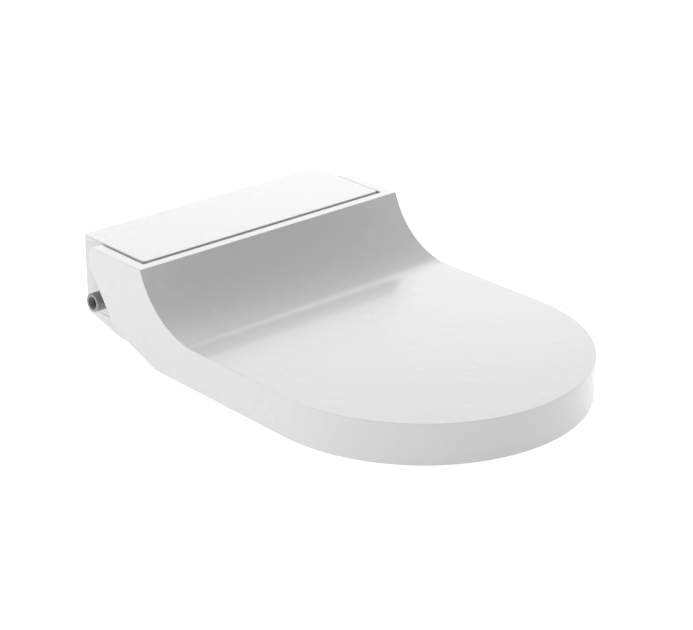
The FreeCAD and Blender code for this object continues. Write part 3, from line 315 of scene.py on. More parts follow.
def refined(node: str, name: str, radius: float,
            weight: Callable[[bmesh.types.BMEdge], float] | None = None,
            segments: int = 2, clamp: bool = True) -> bpy.types.Object:
    """Copies a node's shape with its flat faces whole and its edges rounded.

    Args:
        node: The node.
        name: The new piece's name.
        radius: The edge radius where an edge has all of it.
        weight: Gives an edge's share of that radius.
        segments: How many faces round an edge.
        clamp: Whether short edges may hold the rounding back.

    Returns:
        The new piece.
    """
    bm = bmesh.new()
    bm.from_mesh(bpy.data.objects[node].data)
    bmesh.ops.remove_doubles(bm, verts=bm.verts, dist=SAME_VERTEX)
    bmesh.ops.dissolve_limit(bm, angle_limit=FACET_ANGLE, verts=bm.verts, edges=bm.edges,
                             delimit=set())
    return moulded(as_object(bm, name), name, radius, weight, segments, clamp)


# Shader kit


class Value:
    """A shader number that takes part in Python arithmetic."""

    def __init__(self, paint: Paint, socket: bpy.types.NodeSocket) -> None:
        """Wraps a node's output socket."""
        self.paint = paint
        self.socket = socket

    def _math(self, operation: str, first: Any, second: Any) -> Value:
        """Adds a Math node."""
        return self.paint.node("ShaderNodeMath", {"operation": operation}, {0: first, 1: second})

    def __add__(self, other: Any) -> Value:
        """Sum."""
        return self._math("ADD", self, other)

    __radd__ = __add__

    def __sub__(self, other: Any) -> Value:
        """Difference."""
        return self._math("SUBTRACT", self, other)

    def __rsub__(self, other: Any) -> Value:
        """Difference the other way round."""
        return self._math("SUBTRACT", other, self)

    def __mul__(self, other: Any) -> Value:
        """Product."""
        return self._math("MULTIPLY", self, other)

    __rmul__ = __mul__

    def __pow__(self, other: Any) -> Value:
        """Power."""
        return self._math("POWER", self, other)


class Paint:
    """A material under construction."""

    def __init__(self, name: str) -> None:
        """Starts a material with its shader and its place on the object."""
        self.material = bpy.data.materials.new(name)
        self.material.use_nodes = True
        self.tree = self.material.node_tree
        self.shader = self.tree.nodes["Principled BSDF"]
        place = self.tree.nodes.new("ShaderNodeTexCoord")
        self.place = Value(self, place.outputs["Object"])

    def node(self, kind: str, settings: dict[str, Any], values: dict[Any, Any],
             output: int | str = 0) -> Value:
        """Adds one node.

        Args:
            kind: The node's type.
            settings: Its own properties, set first.
            values: A value or a link for each input socket.
            output: The output socket that is wanted.

        Returns:
            The output, wrapped.
        """
        made = self.tree.nodes.new(kind)
        for key, setting in settings.items():
            setattr(made, key, setting)
        for key, value in values.items():
            self.feed(made.inputs[key], value)
        return Value(self, made.outputs[output])

    def feed(self, socket: bpy.types.NodeSocket, value: Any) -> None:
        """Links a wrapped output to a socket, or sets the socket's own value.

        Args:
            socket: The input socket.
            value: What goes into it.
        """
        if isinstance(value, Value):
            self.tree.links.new(value.socket, socket)
        else:
            socket.default_value = value

    def noise(self, scale: float, detail: float = 2.0, roughness: float = 0.5,
              stretch: Sequence[float] | None = None) -> Value:
        """Adds noise from nought to one.

        Args:
            scale: Features per metre.
            detail: Levels of finer noise.
            roughness: How much those levels count.
            stretch: Factors on the place along X, Y and Z.

        Returns:
            The noise.
        """
        place = self.place
        if stretch:
            place = self.node("ShaderNodeMapping", {}, {"Vector": self.place, "Scale": stretch})
        return self.node("ShaderNodeTexNoise", {}, {"Vector": place, "Scale": scale,
                                                    "Detail": detail, "Roughness": roughness})

    def cells(self, scale: float) -> Value:
        """Distance to the nearest of a field of points."""
        return self.node("ShaderNodeTexVoronoi", {}, {"Vector": self.place, "Scale": scale})

    def span(self, value: Value, low: float, high: float,
             at: tuple[float, float] = (0, 1)) -> Value:
        """Maps a value from one range to another and clamps it there.

        Args:
            value: The value.
            low: Result at the range's start.
            high: Result at its end.
            at: The range's start and end.

        Returns:
            The mapped value.
        """
        return self.node("ShaderNodeMapRange", {"clamp": True},
                         {"Value": value, "From Min": at[0], "From Max": at[1], "To Min": low,
                          "To Max": high})

    def mix(self, factor: Any, first: Any, second: Any) -> Value:
        """Blends two colours.

        Args:
            factor: The second colour's share.
            first: The first colour.
            second: The second colour.

        Returns:
            The blend.
        """
        return self.node("ShaderNodeMix", {"data_type": "RGBA"},
                         {"Factor": factor, 6: first, 7: second}, 2)

    def bump(self, height: Value, strength: float, distance: float) -> None:
        """Raises the surface.

        Args:
            height: The height, from nought to one.
            strength: How much of the effect shows.
            distance: What a height of one is, in metres.
        """
        normal = self.node("ShaderNodeBump", {}, {"Height": height, "Strength": strength,
                                                  "Distance": distance})
        self.feed(self.shader.inputs["Normal"], normal)

    def set(self, **sockets: Any) -> None:
        """Sets or links the shader's sockets, with _ for a space in a name."""
        for name, value in sockets.items():
            self.feed(self.shader.inputs[name.replace("_", " ")], value)


Colour = tuple[float, float, float, float]

# Features per metre
DRIFT_SCALE = 14.0
SPECK_SCALE = 1400.0
DUST_SCALE = 160.0
PORE_SCALE = 2600.0
LINE_SCALE = 700.0
STAIN_SCALE = 45.0
CRUMB_SCALE = 2200.0


def grey(level: float, warm: float = 0.0) -> Colour:
    """A near-neutral colour, a little warmer when warm is above nought."""
    return (level + warm, level, level - warm, 1.0)


@dataclass(frozen=True)
class Moulding:
    """Injection-moulded plastic: polished, or with a spark-eroded grain.

    Attributes:
        colour: Its colour.
        shade: The colour it drifts towards in patches.
        gloss: Roughness where it is smoothest.
        dull: Roughness where it is roughest.
        grain: Height of its grain, in metres.
        grain_scale: Grains per metre.
        coat: Weight of the clear polish.
    """

    colour: Colour
    shade: Colour
    gloss: float
    dull: float
    grain: float = 0.00002
    grain_scale: float = 900.0
    coat: float = 0.0

    def make(self, name: str) -> bpy.types.Material:
        """Builds the material.

        Args:
            name: The material's name.

        Returns:
            The material.
        """
        paint = Paint(name)
        drift = paint.noise(DRIFT_SCALE, 3.0)
        specks = paint.noise(SPECK_SCALE, 1.0)
        cloud = paint.span(drift, 0.0, 1.0, (0.35, 0.65))
        rough = paint.span(cloud * 0.6 + specks * 0.4, self.gloss, self.dull)
        paint.set(Base_Color=paint.mix(cloud, self.colour, self.shade), Roughness=rough,
                  Coat_Weight=self.coat, Coat_Roughness=0.08, IOR=1.49)
        fine = paint.noise(self.grain_scale, 2.0)
        paint.bump(fine, 0.6, self.grain)
        return paint.material


@dataclass(frozen=True)
class Elastomer:
    """Rubber or silicone, matt with a fine bloom.

    Attributes:
        colour: Its colour.
        bloom: The colour of the bloom on it.
        rough: Roughness where there is no bloom.
        alpha: How opaque it is.
    """

    colour: Colour
    bloom: Colour
    rough: float = 0.62
    alpha: float = 1.0

    def make(self, name: str) -> bpy.types.Material:
        """Builds the material.

        Args:
            name: The material's name.

        Returns:
            The material.
        """
        paint = Paint(name)
        dust = paint.span(paint.noise(DUST_SCALE, 5.0, 0.65), 0.0, 1.0, (0.4, 0.7))
        pores = paint.cells(PORE_SCALE)
        paint.set(Base_Color=paint.mix(dust * 0.7, self.colour, self.bloom),
                  Roughness=paint.span(dust, self.rough, self.rough + 0.2), Alpha=self.alpha)
        paint.bump(pores, 0.5, 0.00004)
        return paint.material


@dataclass(frozen=True)
class Metal:
    """Bare or plated metal, drawn along one direction.

    Attributes:
        colour: Its colour.
        tarnish: The colour of its stains.
        gloss: Roughness between the drawn lines.
        dull: Roughness on them.
        draw: Noise scale along X, Y and Z, small along the drawn lines.
    """

    colour: Colour
    tarnish: Colour
    gloss: float = 0.2
    dull: float = 0.42
    draw: tuple[float, float, float] = (1.0, 1.0, 1.0)

    def make(self, name: str) -> bpy.types.Material:
        """Builds the material.

        Args:
            name: The material's name.

        Returns:
            The material.
        """
        paint = Paint(name)
        lines = paint.noise(LINE_SCALE, 3.0, 0.6, self.draw)
        stain = paint.span(paint.noise(STAIN_SCALE, 4.0), 0.0, 1.0, (0.45, 0.75))
        paint.set(Base_Color=paint.mix(stain * 0.5, self.colour, self.tarnish), Metallic=1.0,
                  Roughness=paint.span(lines, self.gloss, self.dull))
        paint.bump(lines, 0.4, 0.00002)
        return paint.material


@dataclass(frozen=True)
class Winding:
    """Enamelled wire wound in turns round an upright axis.

    Attributes:
        colour: The wire's colour.
        gap: The colour between turns.
        turns: Turns per metre, times the wave's own factor of 20.
    """

    colour: Colour
    gap: Colour
    turns: float = 1500.0

    def make(self, name: str) -> bpy.types.Material:
        """Builds the material.

        Args:
            name: The material's name.

        Returns:
            The material.
        """
        paint = Paint(name)
        wave = paint.node("ShaderNodeTexWave", {"bands_direction": "Z"},
                          {"Vector": paint.place, "Scale": self.turns / 20, "Distortion": 0.2})
        paint.set(Base_Color=paint.mix(wave, self.gap, self.colour), Metallic=0.8,
                  Roughness=paint.span(wave, 0.5, 0.25))
        paint.bump(wave, 0.8, 0.0002)
        return paint.material


@dataclass(frozen=True)
class Board:
    """Printed board: solder mask with copper tracks showing through.

    Attributes:
        mask: Colour of the solder mask.
        track: Colour over the tracks.
    """

    mask: Colour
    track: Colour

    def make(self, name: str) -> bpy.types.Material:
        """Builds the material.

        Args:
            name: The material's name.

        Returns:
            The material.
        """
        paint = Paint(name)
        tracks = paint.node("ShaderNodeTexBrick", {"offset": 0.37},
                            {"Vector": paint.place, "Scale": 90.0, "Mortar Size": 0.06,
                             "Brick Width": 0.9, "Row Height": 0.3}, "Fac")
        paint.set(Base_Color=paint.mix(tracks, self.mask, self.track),
                  Roughness=paint.span(tracks, 0.3, 0.42))
        paint.bump(tracks, 0.6, 0.00004)
        return paint.material


@dataclass(frozen=True)
class Honeycomb:
    """Carbon-coated honeycomb.

    Attributes:
        colour: Its colour.
        edge: The colour of its worn grains.
    """

    colour: Colour
    edge: Colour

    def make(self, name: str) -> bpy.types.Material:
        """Builds the material.

        Args:
            name: The material's name.

        Returns:
            The material.
        """
        paint = Paint(name)
        crumbs = paint.noise(CRUMB_SCALE, 4.0, 0.7)
        worn = paint.span(crumbs, 0.0, 1.0, (0.5, 0.8))
        paint.set(Base_Color=paint.mix(worn, self.colour, self.edge), Roughness=0.85)
        paint.bump(crumbs, 0.9, 0.0001)
        return paint.material


FINISHES: dict[str, Any] = {
    "white_shell": Moulding(grey(0.80), grey(0.797), 0.26, 0.28, 0.000002, 900.0, 0.25),
    "white_panel": Moulding(grey(0.77), grey(0.76), 0.34, 0.40, 0.00003, 1500.0),
    "grey_base": Moulding(grey(0.60), grey(0.57), 0.45, 0.60, 0.00006, 1800.0),
    "soft_rubber": Elastomer(grey(0.55), grey(0.66)),
    "dark_rubber": Elastomer(grey(0.03), grey(0.09)),
    "dark_fitting": Moulding(grey(0.31), grey(0.35), 0.30, 0.42, 0.00004, 1600.0),
    "pin_steel": Metal(grey(0.60), grey(0.45), draw=(0.05, 1.0, 1.0)),
    "screw_steel": Metal(grey(0.68), grey(0.50, 0.02), 0.25, 0.4),
    "black_moulding": Moulding(grey(0.02), grey(0.03), 0.4, 0.55, 0.00004, 1500.0),
    "nozzle_steel": Metal(grey(0.72), grey(0.62), 0.10, 0.22, (1.0, 0.04, 1.0)),
    "heater_foil": Metal(grey(0.74), grey(0.6), 0.22, 0.45),
    "copper_coil": Winding((0.72, 0.28, 0.12, 1.0), (0.10, 0.03, 0.01, 1.0)),
    "brass_core": Metal((0.70, 0.52, 0.26, 1.0), (0.45, 0.32, 0.16, 1.0)),
    "tank_plastic": Moulding(grey(0.70, 0.03), grey(0.66, 0.04), 0.4, 0.55, 0.00004, 1300.0),
    "motor_can": Metal(grey(0.50), grey(0.36), 0.3, 0.5, (1.0, 1.0, 0.08)),
    "gear_acetal": Moulding(grey(0.76, 0.02), grey(0.72, 0.03), 0.3, 0.42, 0.00003, 1400.0),
    "hose_silicone": Elastomer(grey(0.66), grey(0.72), 0.4),
    "board_green": Board((0.01, 0.10, 0.035, 1.0), (0.03, 0.22, 0.07, 1.0)),
    "filter_carbon": Honeycomb(grey(0.012), grey(0.05)),
    "lens_clear": Moulding((0.70, 0.78, 0.86, 1.0), (0.66, 0.75, 0.84, 1.0), 0.08, 0.16),
    "cable_sheath": Elastomer(grey(0.66), grey(0.72), 0.45),
}


class Wardrobe:
    """Makes each finish once and puts it on pieces."""

    def __init__(self) -> None:
        """Starts with nothing made."""
        self.made: dict[str, bpy.types.Material] = {}

    def dress(self, thing: bpy.types.Object, slot: str) -> bpy.types.Object:
        """Gives a piece the finish of a material slot.

        Args:
            thing: The piece.
            slot: The slot.

        Returns:
            The same piece.
        """
        if slot not in self.made:
            self.made[slot] = FINISHES[slot].make(slot)
        thing.data.materials.clear()
        thing.data.materials.append(self.made[slot])
        return thing

    def piece(self, thing: bpy.types.Object, slot: str, body: str,
              *nodes: str) -> bpy.types.Object:
        """Finishes a new piece.

        Args:
            thing: The piece.
            slot: Its material slot.
            body: The body it rides on.
            nodes: The nodes it stands for.

        Returns:
            The piece.
        """
        self.dress(thing, slot)
        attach(thing, body)
        if nodes:
            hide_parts(*nodes)
        LOG.info("%s rides on %s, %d faces", thing.name, body, len(thing.data.polygons))
        return thing


# Sub-assemblies


@dataclass
class Sweep:
    """The hollow sweep that the lid, the seat and the housing's front share.

    Attributes:
        radius: The lid's own radius.
        top_y: Where the lid's sweep meets its rim.
        flat_z: Top of the lid's flat part.
        rim_z: Top of the lid's rim.
    """

    radius: float = 92 * MM
    top_y: float = -34.5 * MM
    flat_z: float = 48 * MM
    rim_z: float = 110.3 * MM

    @property
    def centre(self) -> tuple[float, float]:
        """The sweep's centre in Y and Z."""
        up = self.flat_z + self.radius
        return self.top_y - math.sqrt(self.radius**2 - (up - self.rim_z) ** 2), up

    def y_at(self, radius: float, z: float) -> float:
        """Where the sweep of that radius is at height z."""
        y, up = self.centre
        return y + math.sqrt(radius**2 - (up - z) ** 2)

    def z_at(self, radius: float, y: float) -> float:
        """How high the sweep of that radius is at y."""
        middle, up = self.centre
        return up - math.sqrt(radius**2 - (y - middle) ** 2)

    def arc(self, radius: float, low_y: float, high_z: float, steps: int = 48) -> tuple[
            tuple[float, float], Bend]:
        """The arc of a sweep between two points.

        Args:
            radius: The sweep's radius.
            low_y: Where the arc starts, in Y.
            high_z: Where it ends, in Z.
            steps: How many straight lines stand for it.

        Returns:
            Its start and its bend.
        """
        y, up = self.centre
        start = (low_y, self.z_at(radius, low_y))
        end = (self.y_at(radius, high_z), high_z)
        first = math.atan2(start[1] - up, start[0] - y)
        last = math.atan2(end[1] - up, end[0] - y)
        return start, Bend(y, up, math.degrees(last - first), steps)


def round_front(half: float, tip: float, back: float, low: float, high: float,
                steps: int = 128) -> bpy.types.Object:
    """A plan with straight sides and a half-round front, as a prism.

    Args:
        half: Half its width.
        tip: Where its front ends, in Y.
        back: Where its sides end.
        low: The prism's lower face.
        high: Its upper face.
        steps: How many straight lines go round the front.

    Returns:
        The solid.
    """
    centre = tip + half
    return prism(Plane.PLAN, (-half, back), [(-half, centre), Bend(0, centre, 180, steps),
                                             (half, back)], low, high)


@dataclass
class Lid:
    """The one-piece lid: flat top, sweep, rim, cheeks and skirt.

    Attributes:
        sweep: The sweep it shares with the seat.
        wall: Its wall.
        rim_front: Depth of its rim in front of the cover plate.
        rim_side: Width of its rim beside the cover plate.
        edge: Radius asked of its outer upper edges; the clamp leaves about 0.33 mm of it.
        cheek_corner: Rounding of the cheek's upper rear corner.
        slant_top_z: Height where the cheek's rear edge starts to slant forwards.
        notch_y: Where that slant ends, in Y.
        notch_z: Where that slant ends, in Z.
        heel: From the notch down to a gentler slope, in Y and Z.
        sole: From the notch to the skirt's rise, in Y, and its height there.
        toe_y: Where the skirt's lower edge starts to rise.
        groove_shade_z: Lower and upper face of the dark strip in the groove round the cover plate,
            a painted shadow that stands in for the groove's shade.
        groove_shade_front: Width of that painted-shade strip in front of the plate.
        groove_shade_side: Width of that strip beside the plate.
        groove_shade_rear: Where the strip ends.
        groove_shade_gap: Distance from the strip to the rim.
        groove_shade_edge: Radius of the strip's edges.
    """

    sweep: Sweep
    wall: float = 3.4 * MM
    rim_front: float = 10.8 * MM
    rim_side: float = 12.5 * MM
    edge: float = 3.2 * MM
    cheek_corner: float = 8 * MM
    slant_top_z: float = 88.4 * MM
    notch_y: float = 18.5 * MM
    notch_z: float = 32.3 * MM
    heel: tuple[float, float] = (10 * MM, 7.5 * MM)
    sole: tuple[float, float] = (24 * MM, 20.5 * MM)
    toe_y: float = -55 * MM
    groove_shade_z: tuple[float, float] = (107.2 * MM, 108.1 * MM)
    groove_shade_front: float = 1.2 * MM
    groove_shade_side: float = 1.6 * MM
    groove_shade_rear: float = 48 * MM
    groove_shade_gap: float = 0.2 * MM
    groove_shade_edge: float = 0.15 * MM

    def __post_init__(self) -> None:
        """Reads the lid's outer sizes from the frame."""
        low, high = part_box("lid_shell")
        self.half = high.x
        self.tip = low.y
        self.rear = high.y
        self.skirt = low.z

    def outside(self) -> bpy.types.Object:
        """The solid inside the lid's outer faces.

        Returns:
            The solid.
        """
        rim = self.sweep.rim_z
        start, bend = self.sweep.arc(self.sweep.radius, self.sweep.centre[0], rim)
        corner = self.cheek_corner
        steps: list[Step] = [
            (self.tip, self.sweep.flat_z), start, bend, (self.rear - corner, rim),
            Bend(self.rear - corner, rim - corner, -90, 12), (self.rear, self.slant_top_z),
            (self.notch_y, self.notch_z),
            (self.notch_y - self.heel[0], self.notch_z - self.heel[1]),
            (self.notch_y - self.sole[0], self.sole[1]), (self.toe_y, self.skirt)]
        body = prism(Plane.SIDE, (self.tip, self.skirt), steps, -self.half, self.half)
        plan = round_front(self.half, self.tip, self.rear, 0, rim + MM)
        return combine(body, Join.KEEP, plan)

    def inside(self) -> bpy.types.Object:
        """The hollow under the lid, open below and behind.

        Returns:
            The solid that cuts it.
        """
        top, rim = self.sweep.flat_z - self.wall, self.sweep.rim_z - self.wall
        beyond = self.rear + BEYOND
        start, bend = self.sweep.arc(self.sweep.radius + self.wall, self.sweep.centre[0], rim)
        body = prism(Plane.SIDE, (self.tip, -BEYOND),
                     [(self.tip, top), start, bend, (beyond, rim), (beyond, -BEYOND)],
                     -self.half, self.half)
        plan = round_front(self.half - self.wall, self.tip + self.wall, beyond, -BEYOND,
                           self.sweep.rim_z)
        return combine(body, Join.KEEP, plan)

    def edge_share(self, edge: bmesh.types.BMEdge) -> float:
        """How round an edge is: most where the top meets the outer wall.

        Args:
            edge: An edge of the lid.

        Returns:
            Its share of the largest radius.
        """
        middle = (edge.verts[0].co + edge.verts[1].co) / 2
        ups = sorted(f.normal.z for f in edge.link_faces)
        centre = self.tip + self.half
        if middle.y < centre:
            outer = math.hypot(middle.x, middle.y - centre) > self.half - NEAR
        else:
            outer = abs(middle.x) > self.half - NEAR
        if outer and ups[-1] > 0.3:
            return 1.0
        if outer and middle.z > self.skirt + 2 * MM:
            return 0.6
        crest = (abs(middle.y - self.sweep.top_y) < NEAR
                 and middle.z > self.sweep.rim_z - NEAR)
        return 0.3 if crest else 0.2

    def build(self, wardrobe: Wardrobe) -> None:
        """Makes the lid's pieces.

        Args:
            wardrobe: Dresses the pieces.
        """
        gap_front = self.sweep.top_y + self.rim_front
        window = slab((self.rim_side - self.half, self.half - self.rim_side),
                      (gap_front, self.rear + BEYOND),
                      (self.sweep.rim_z - self.wall - MM, self.sweep.rim_z + MM))
        shell = combine(self.outside(), Join.CUT, self.inside(), window)
        shell = moulded(shell, "lid", self.edge, self.edge_share, 4)
        wardrobe.piece(shell, "white_shell", "lid", "lid_shell")
        # Painted shade: a thin dark rubber-coloured strip laid in the groove round the cover plate,
        # so the groove reads as a dark shadowed line. It is not a real seal.
        side = self.half - self.rim_side + self.groove_shade_gap
        front = gap_front - self.groove_shade_gap
        low, high = self.groove_shade_z
        lip = slab((-side, side), (front, self.groove_shade_rear), (low, high))
        hole = slab((self.groove_shade_side - side, side - self.groove_shade_side),
                    (front + self.groove_shade_front, self.groove_shade_rear + MM), (low - MM, high + MM))
        lip = moulded(combine(lip, Join.CUT, hole), "lid_groove_painted_shade", self.groove_shade_edge)
        wardrobe.piece(lip, "dark_rubber", "lid")


@dataclass
class CoverPlate:
    """The flat plate on top of the housing.

    Attributes:
        corner: Radius of its upright corners.
        edge: Radius of its edges.
    """

    corner: float = 5 * MM
    edge: float = 0.8 * MM

    def build(self, wardrobe: Wardrobe) -> None:
        """Makes the plate.

        Args:
            wardrobe: Dresses the pieces.
        """
        low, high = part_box("cover_plate")
        plate = slab((low.x, high.x), (low.y, high.y), (low.z, high.z), self.corner)
        plate = moulded(plate, "cover_plate_top", self.edge, None, 3)
        wardrobe.piece(plate, "white_shell", "plate", "cover_plate")


@dataclass
class Seat:
    """The heated seat ring with its swept back and hinge arms.

    Attributes:
        sweep: The sweep it shares with the lid.
        lip: Radius of the opening's upper edge.
        heater_cover: Thickness of the ring over the heater sheet.
        ramp_gap: Edges this close to the sweep are left as they are.
        ring_width: Edges this close to the outer wall aren't the opening's.
        under_edge: Radius of the underside's edges.
        foot_edge: Radius of the feet's edges.
    """

    sweep: Sweep
    lip: float = 6 * MM
    heater_cover: float = 3 * MM
    ramp_gap: float = 2 * MM
    ring_width: float = 30 * MM
    under_edge: float = 0.7 * MM
    foot_edge: float = 1.6 * MM

    def __post_init__(self) -> None:
        """Reads the ring's sizes from the frame."""
        low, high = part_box("seat_top")
        self.half, self.tip = high.x, low.y
        self.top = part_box("seat_heater")[1].z + self.heater_cover
        self.ramp_y = self.sweep.centre[0]

    def share(self, edge: bmesh.types.BMEdge) -> float:
        """How round an edge is: only the opening's upper edge is rounded.

        Args:
            edge: An edge of the ring.

        Returns:
            Its share of the lip's radius.
        """
        ends = [v.co for v in edge.verts]
        level = all(abs(end.z - self.top) < 0.1 * MM for end in ends)
        if not level or max(end.y for end in ends) > self.ramp_y - self.ramp_gap:
            return 0.0
        centre = self.tip + self.half
        inside = all(math.hypot(end.x, min(end.y - centre, 0)) < self.half - self.ring_width
                     for end in ends)
        return 1.0 if inside else 0.0

    def build(self, wardrobe: Wardrobe) -> None:
        """Makes the ring, its underside and its feet.

        Args:
            wardrobe: Dresses the pieces.
        """
        ring = refined("seat_top", "seat_ring", self.lip, self.share, 5, False)
        wardrobe.piece(ring, "white_shell", "seat", "seat_top")
        under = refined("seat_base", "seat_underside", self.under_edge)
        wardrobe.piece(under, "white_panel", "seat", "seat_base")
        feet = refined("seat_bumpers", "seat_feet", self.foot_edge, None, 3)
        wardrobe.piece(feet, "soft_rubber", "seat", "seat_bumpers")


@dataclass
class Housing:
    """The rear housing's shells, its front bezel and what shows on its outside.

    Attributes:
        edge: Radius asked of the shells' edges; the clamp leaves under 0.1 mm of it.
        gasket_edge: Radius of the gasket's edges.
        bezel_edge: Radius asked of the bezel's edges; the clamp leaves about 0.03 mm.
        socket_edge: Radius of the mains socket's edges.
        key_edge: Radius of the keys' edges.
        drawer_edge: Radius of the filter drawer's edges.
        flap_edge: Radius asked of the outlet flap's edges; the clamp leaves about 0.05 mm.
    """

    edge: float = 0.9 * MM
    gasket_edge: float = 0.1 * MM
    bezel_edge: float = 0.3 * MM
    socket_edge: float = 0.4 * MM
    key_edge: float = 0.4 * MM
    drawer_edge: float = 0.5 * MM
    flap_edge: float = 0.15 * MM

    def build(self, wardrobe: Wardrobe) -> None:
        """Makes the housing's visible pieces.

        Args:
            wardrobe: Dresses the pieces.
        """
        shells = (("upper_cover", "housing_cover", "white_panel", self.edge),
                  ("base_tray", "housing_tray", "white_panel", self.edge),
                  ("housing_gasket", "shell_gasket", "soft_rubber", self.gasket_edge),
                  ("front_bezel", "nozzle_bezel", "white_panel", self.bezel_edge),
                  ("power_inlet", "mains_socket", "black_moulding", self.socket_edge))
        for node, name, slot, radius in shells:
            wardrobe.piece(refined(node, name, radius), slot, "housing", node)
        keys = (("power_button", "power_key_cap", "power_key"),
                ("arm_button", "arm_key_cap", "arm_key"))
        for node, name, body in keys:
            wardrobe.piece(refined(node, name, self.key_edge), "grey_base", body, node)
        drawer = refined("odour_filter", "filter_drawer_front", self.drawer_edge)
        wardrobe.piece(drawer, "white_panel", "filter_drawer", "odour_filter")
        flap = refined("dryer_flap", "dryer_outlet_flap", self.flap_edge)
        wardrobe.piece(flap, "white_panel", "air_flap", "dryer_flap")


@dataclass
class MountingPlate:
    """The plate that is bolted to the bowl, and its rubber bushes.

    Attributes:
        edge: Radius asked of the plate's edges; the clamp leaves about 0.03 mm of it.
        bush_edge: Radius of the bushes' edges.
    """

    edge: float = 0.8 * MM
    bush_edge: float = 0.6 * MM

    def build(self, wardrobe: Wardrobe) -> None:
        """Makes the plate and the bushes.

        Args:
            wardrobe: Dresses the pieces.
        """
        plate = refined("mounting_plate", "fixing_plate", self.edge)
        wardrobe.piece(plate, "grey_base", "mount", "mounting_plate")
        bushes = refined("fixing_bushes", "bolt_bushes", self.bush_edge)
        wardrobe.piece(bushes, "dark_rubber", "mount", "fixing_bushes")


@dataclass
class WaterInlet:
    """The threaded water connector on the left side.

    Attributes:
        crest: Radius over the thread.
        depth: Depth of the thread.
        pitch: Its pitch.
        bore: Radius of its bore.
        thread: Length of the thread.
        neck: Distance from the mouth to the flange.
        flange: Radius of the flange inside the wall.
        flange_long: Length of the flange.
        lead: Where the thread's first crest starts.
        turn: Where a turn's crest ends and its root starts and ends, as shares of the pitch.
        tail_step: How far the pipe behind the flange lies under the crest.
        edge: Radius of its edges.
    """

    crest: float = 10.48 * MM
    depth: float = 1.1 * MM
    pitch: float = 1.95 * MM
    bore: float = 7.0 * MM
    thread: float = 15.4 * MM
    neck: float = 20.8 * MM
    flange: float = 14.0 * MM
    flange_long: float = 4.2 * MM
    lead: float = 1.2 * MM
    turn: tuple[float, float, float] = (0.28, 0.52, 0.76)
    tail_step: float = 1.5 * MM
    edge: float = 0.25 * MM

    def build(self, wardrobe: Wardrobe) -> None:
        """Makes the connector.

        Args:
            wardrobe: Dresses the pieces.
        """
        low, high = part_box("water_inlet")
        middle = (low + high) / 2
        root = self.crest - self.depth
        points = [(0.0, self.bore + 0.5 * MM), (0.0, self.crest - 0.9 * MM),
                  (self.lead * 0.5, self.crest - 0.3 * MM), (self.lead, self.crest)]
        at = self.lead
        crest_end, root_start, root_end = self.turn
        while at + self.pitch < self.thread:
            points += [(at + crest_end * self.pitch, self.crest),
                       (at + root_start * self.pitch, root),
                       (at + root_end * self.pitch, root), (at + self.pitch, self.crest)]
            at += self.pitch
        tail = self.crest - self.tail_step
        long = high.x - low.x
        points += [(at + 0.4 * MM, self.crest), (at + 0.8 * MM, root), (self.neck, root),
                   (self.neck, self.flange), (self.neck + self.flange_long, self.flange),
                   (self.neck + self.flange_long, tail), (long, tail), (long, self.bore),
                   (0.5 * MM, self.bore), points[0]]
        mouth = Vector((low.x, middle.y, middle.z))
        body = lathe(points, mouth, Vector((1, 0, 0)), 72)
        body = moulded(body, "water_connector", self.edge)
        wardrobe.piece(body, "dark_fitting", "housing", "water_inlet")


# Studio


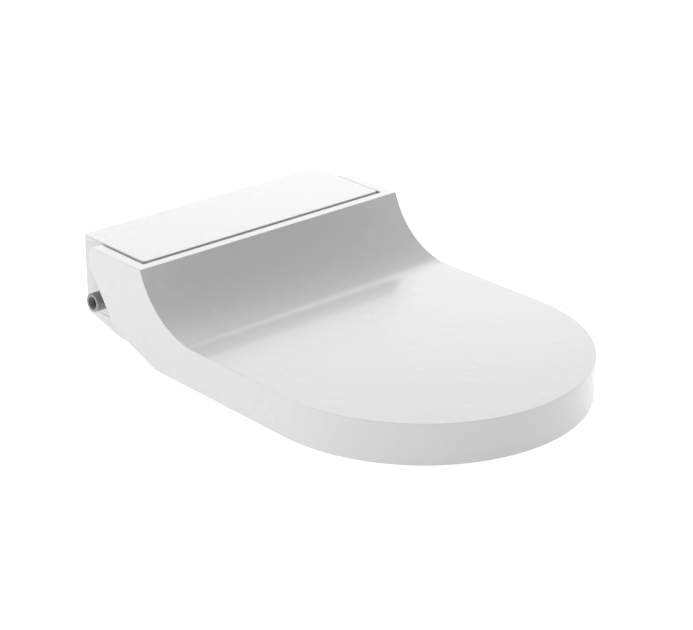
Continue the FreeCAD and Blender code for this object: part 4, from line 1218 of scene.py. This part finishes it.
@dataclass
class Studio:
    """Pale floor, soft light and the camera.

    Attributes:
        eye: Where the camera stands.
        aim: What it looks at.
        lens: Its focal length, in millimetres.
        sensor: Width of the camera's sensor, in millimetres.
        reach: Half the floor's side.
        drop: How far the floor lies under the part.
        tone: The floor's grey.
        glow: Strength of the floor's own light.
        ambient: Strength of the even light from all round.
        lamp_aim: What the lights face.
        lamps: Each light's name, place, width and height, and power in watts.
    """

    eye: tuple[float, float, float] = (-1.34466, -1.67298, 0.91345)
    aim: tuple[float, float, float] = (0.0029, -0.1500, 0.04525)
    lens: float = 108.3
    sensor: float = 36.0
    reach: float = 9.0
    drop: float = 0.0005
    tone: float = 0.86
    glow: float = 0.62
    ambient: float = 0.26
    lamp_aim: tuple[float, float, float] = (0, -0.15, 0.05)
    lamps: tuple[tuple[str, tuple[float, float, float], tuple[float, float], float], ...] = (
        ("top_light", (0.1, 0.7, 2.2), (2.4, 2.0), 19.0),
        ("back_light", (1.5, 2.0, 1.1), (2.6, 1.4), 24.0),
        ("left_light", (-2.3, 0.5, 0.8), (1.4, 1.2), 12.0),
        ("right_light", (2.1, -0.4, 0.8), (1.2, 1.2), 13.0))

    def camera(self) -> None:
        """Adds the camera."""
        data = bpy.data.cameras.new("camera")
        data.lens = self.lens
        data.sensor_width = self.sensor
        data.clip_end = 60.0
        camera = bpy.data.objects.new("camera", data)
        bpy.context.scene.collection.objects.link(camera)
        camera.location = self.eye
        look = Vector(self.aim) - Vector(self.eye)
        camera.rotation_euler = look.to_track_quat("-Z", "Y").to_euler()
        bpy.context.scene.camera = camera

    def floor(self) -> None:
        """Adds the floor."""
        bm = bmesh.new()
        bmesh.ops.create_grid(bm, x_segments=1, y_segments=1, size=self.reach)
        bmesh.ops.translate(bm, verts=bm.verts, vec=(0, 0, -self.drop))
        floor = as_object(bm, "floor")
        paint = Paint("floor")
        paint.set(Base_Color=grey(self.tone), Roughness=0.7, Emission_Color=grey(1.0),
                  Emission_Strength=self.glow)
        floor.data.materials.append(paint.material)

    def softbox(self, name: str, place: Sequence[float], size: tuple[float, float],
                power: float) -> None:
        """Adds a large soft light that faces the object.

        Args:
            name: The light's name.
            place: Where it is.
            size: Its width and height.
            power: Its power in watts.
        """
        data = bpy.data.lights.new(name, "AREA")
        data.shape = "RECTANGLE"
        data.size, data.size_y = size
        data.energy = power
        lamp = bpy.data.objects.new(name, data)
        bpy.context.scene.collection.objects.link(lamp)
        lamp.location = place
        look = Vector(self.lamp_aim) - Vector(place)
        lamp.rotation_euler = look.to_track_quat("-Z", "Y").to_euler()

    def build(self) -> None:
        """Makes the studio."""
        world = bpy.data.worlds.new("studio")
        world.use_nodes = True
        world.node_tree.nodes["Background"].inputs["Color"].default_value = grey(1.0)
        world.node_tree.nodes["Background"].inputs["Strength"].default_value = self.ambient
        bpy.context.scene.world = world
        bpy.context.scene.view_settings.view_transform = "Standard"
        self.camera()
        self.floor()
        for lamp in self.lamps:
            self.softbox(*lamp)


def main() -> None:
    """Builds the pieces in order, then dresses every CAD node that shows."""
    logging.basicConfig(level=logging.INFO, format="%(message)s")
    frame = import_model()
    wardrobe = Wardrobe()
    Studio().build()
    sweep = Sweep()
    Lid(sweep).build(wardrobe)
    CoverPlate().build(wardrobe)
    Seat(sweep).build(wardrobe)
    Housing().build(wardrobe)
    MountingPlate().build(wardrobe)
    WaterInlet().build(wardrobe)
    slots = {s["node"]: s["material_slot"] for s in frame["record"]["subparts"]}
    for name, node in frame["nodes"].items():
        wardrobe.dress(node, slots[name])


if __name__ == "__main__":
    main()
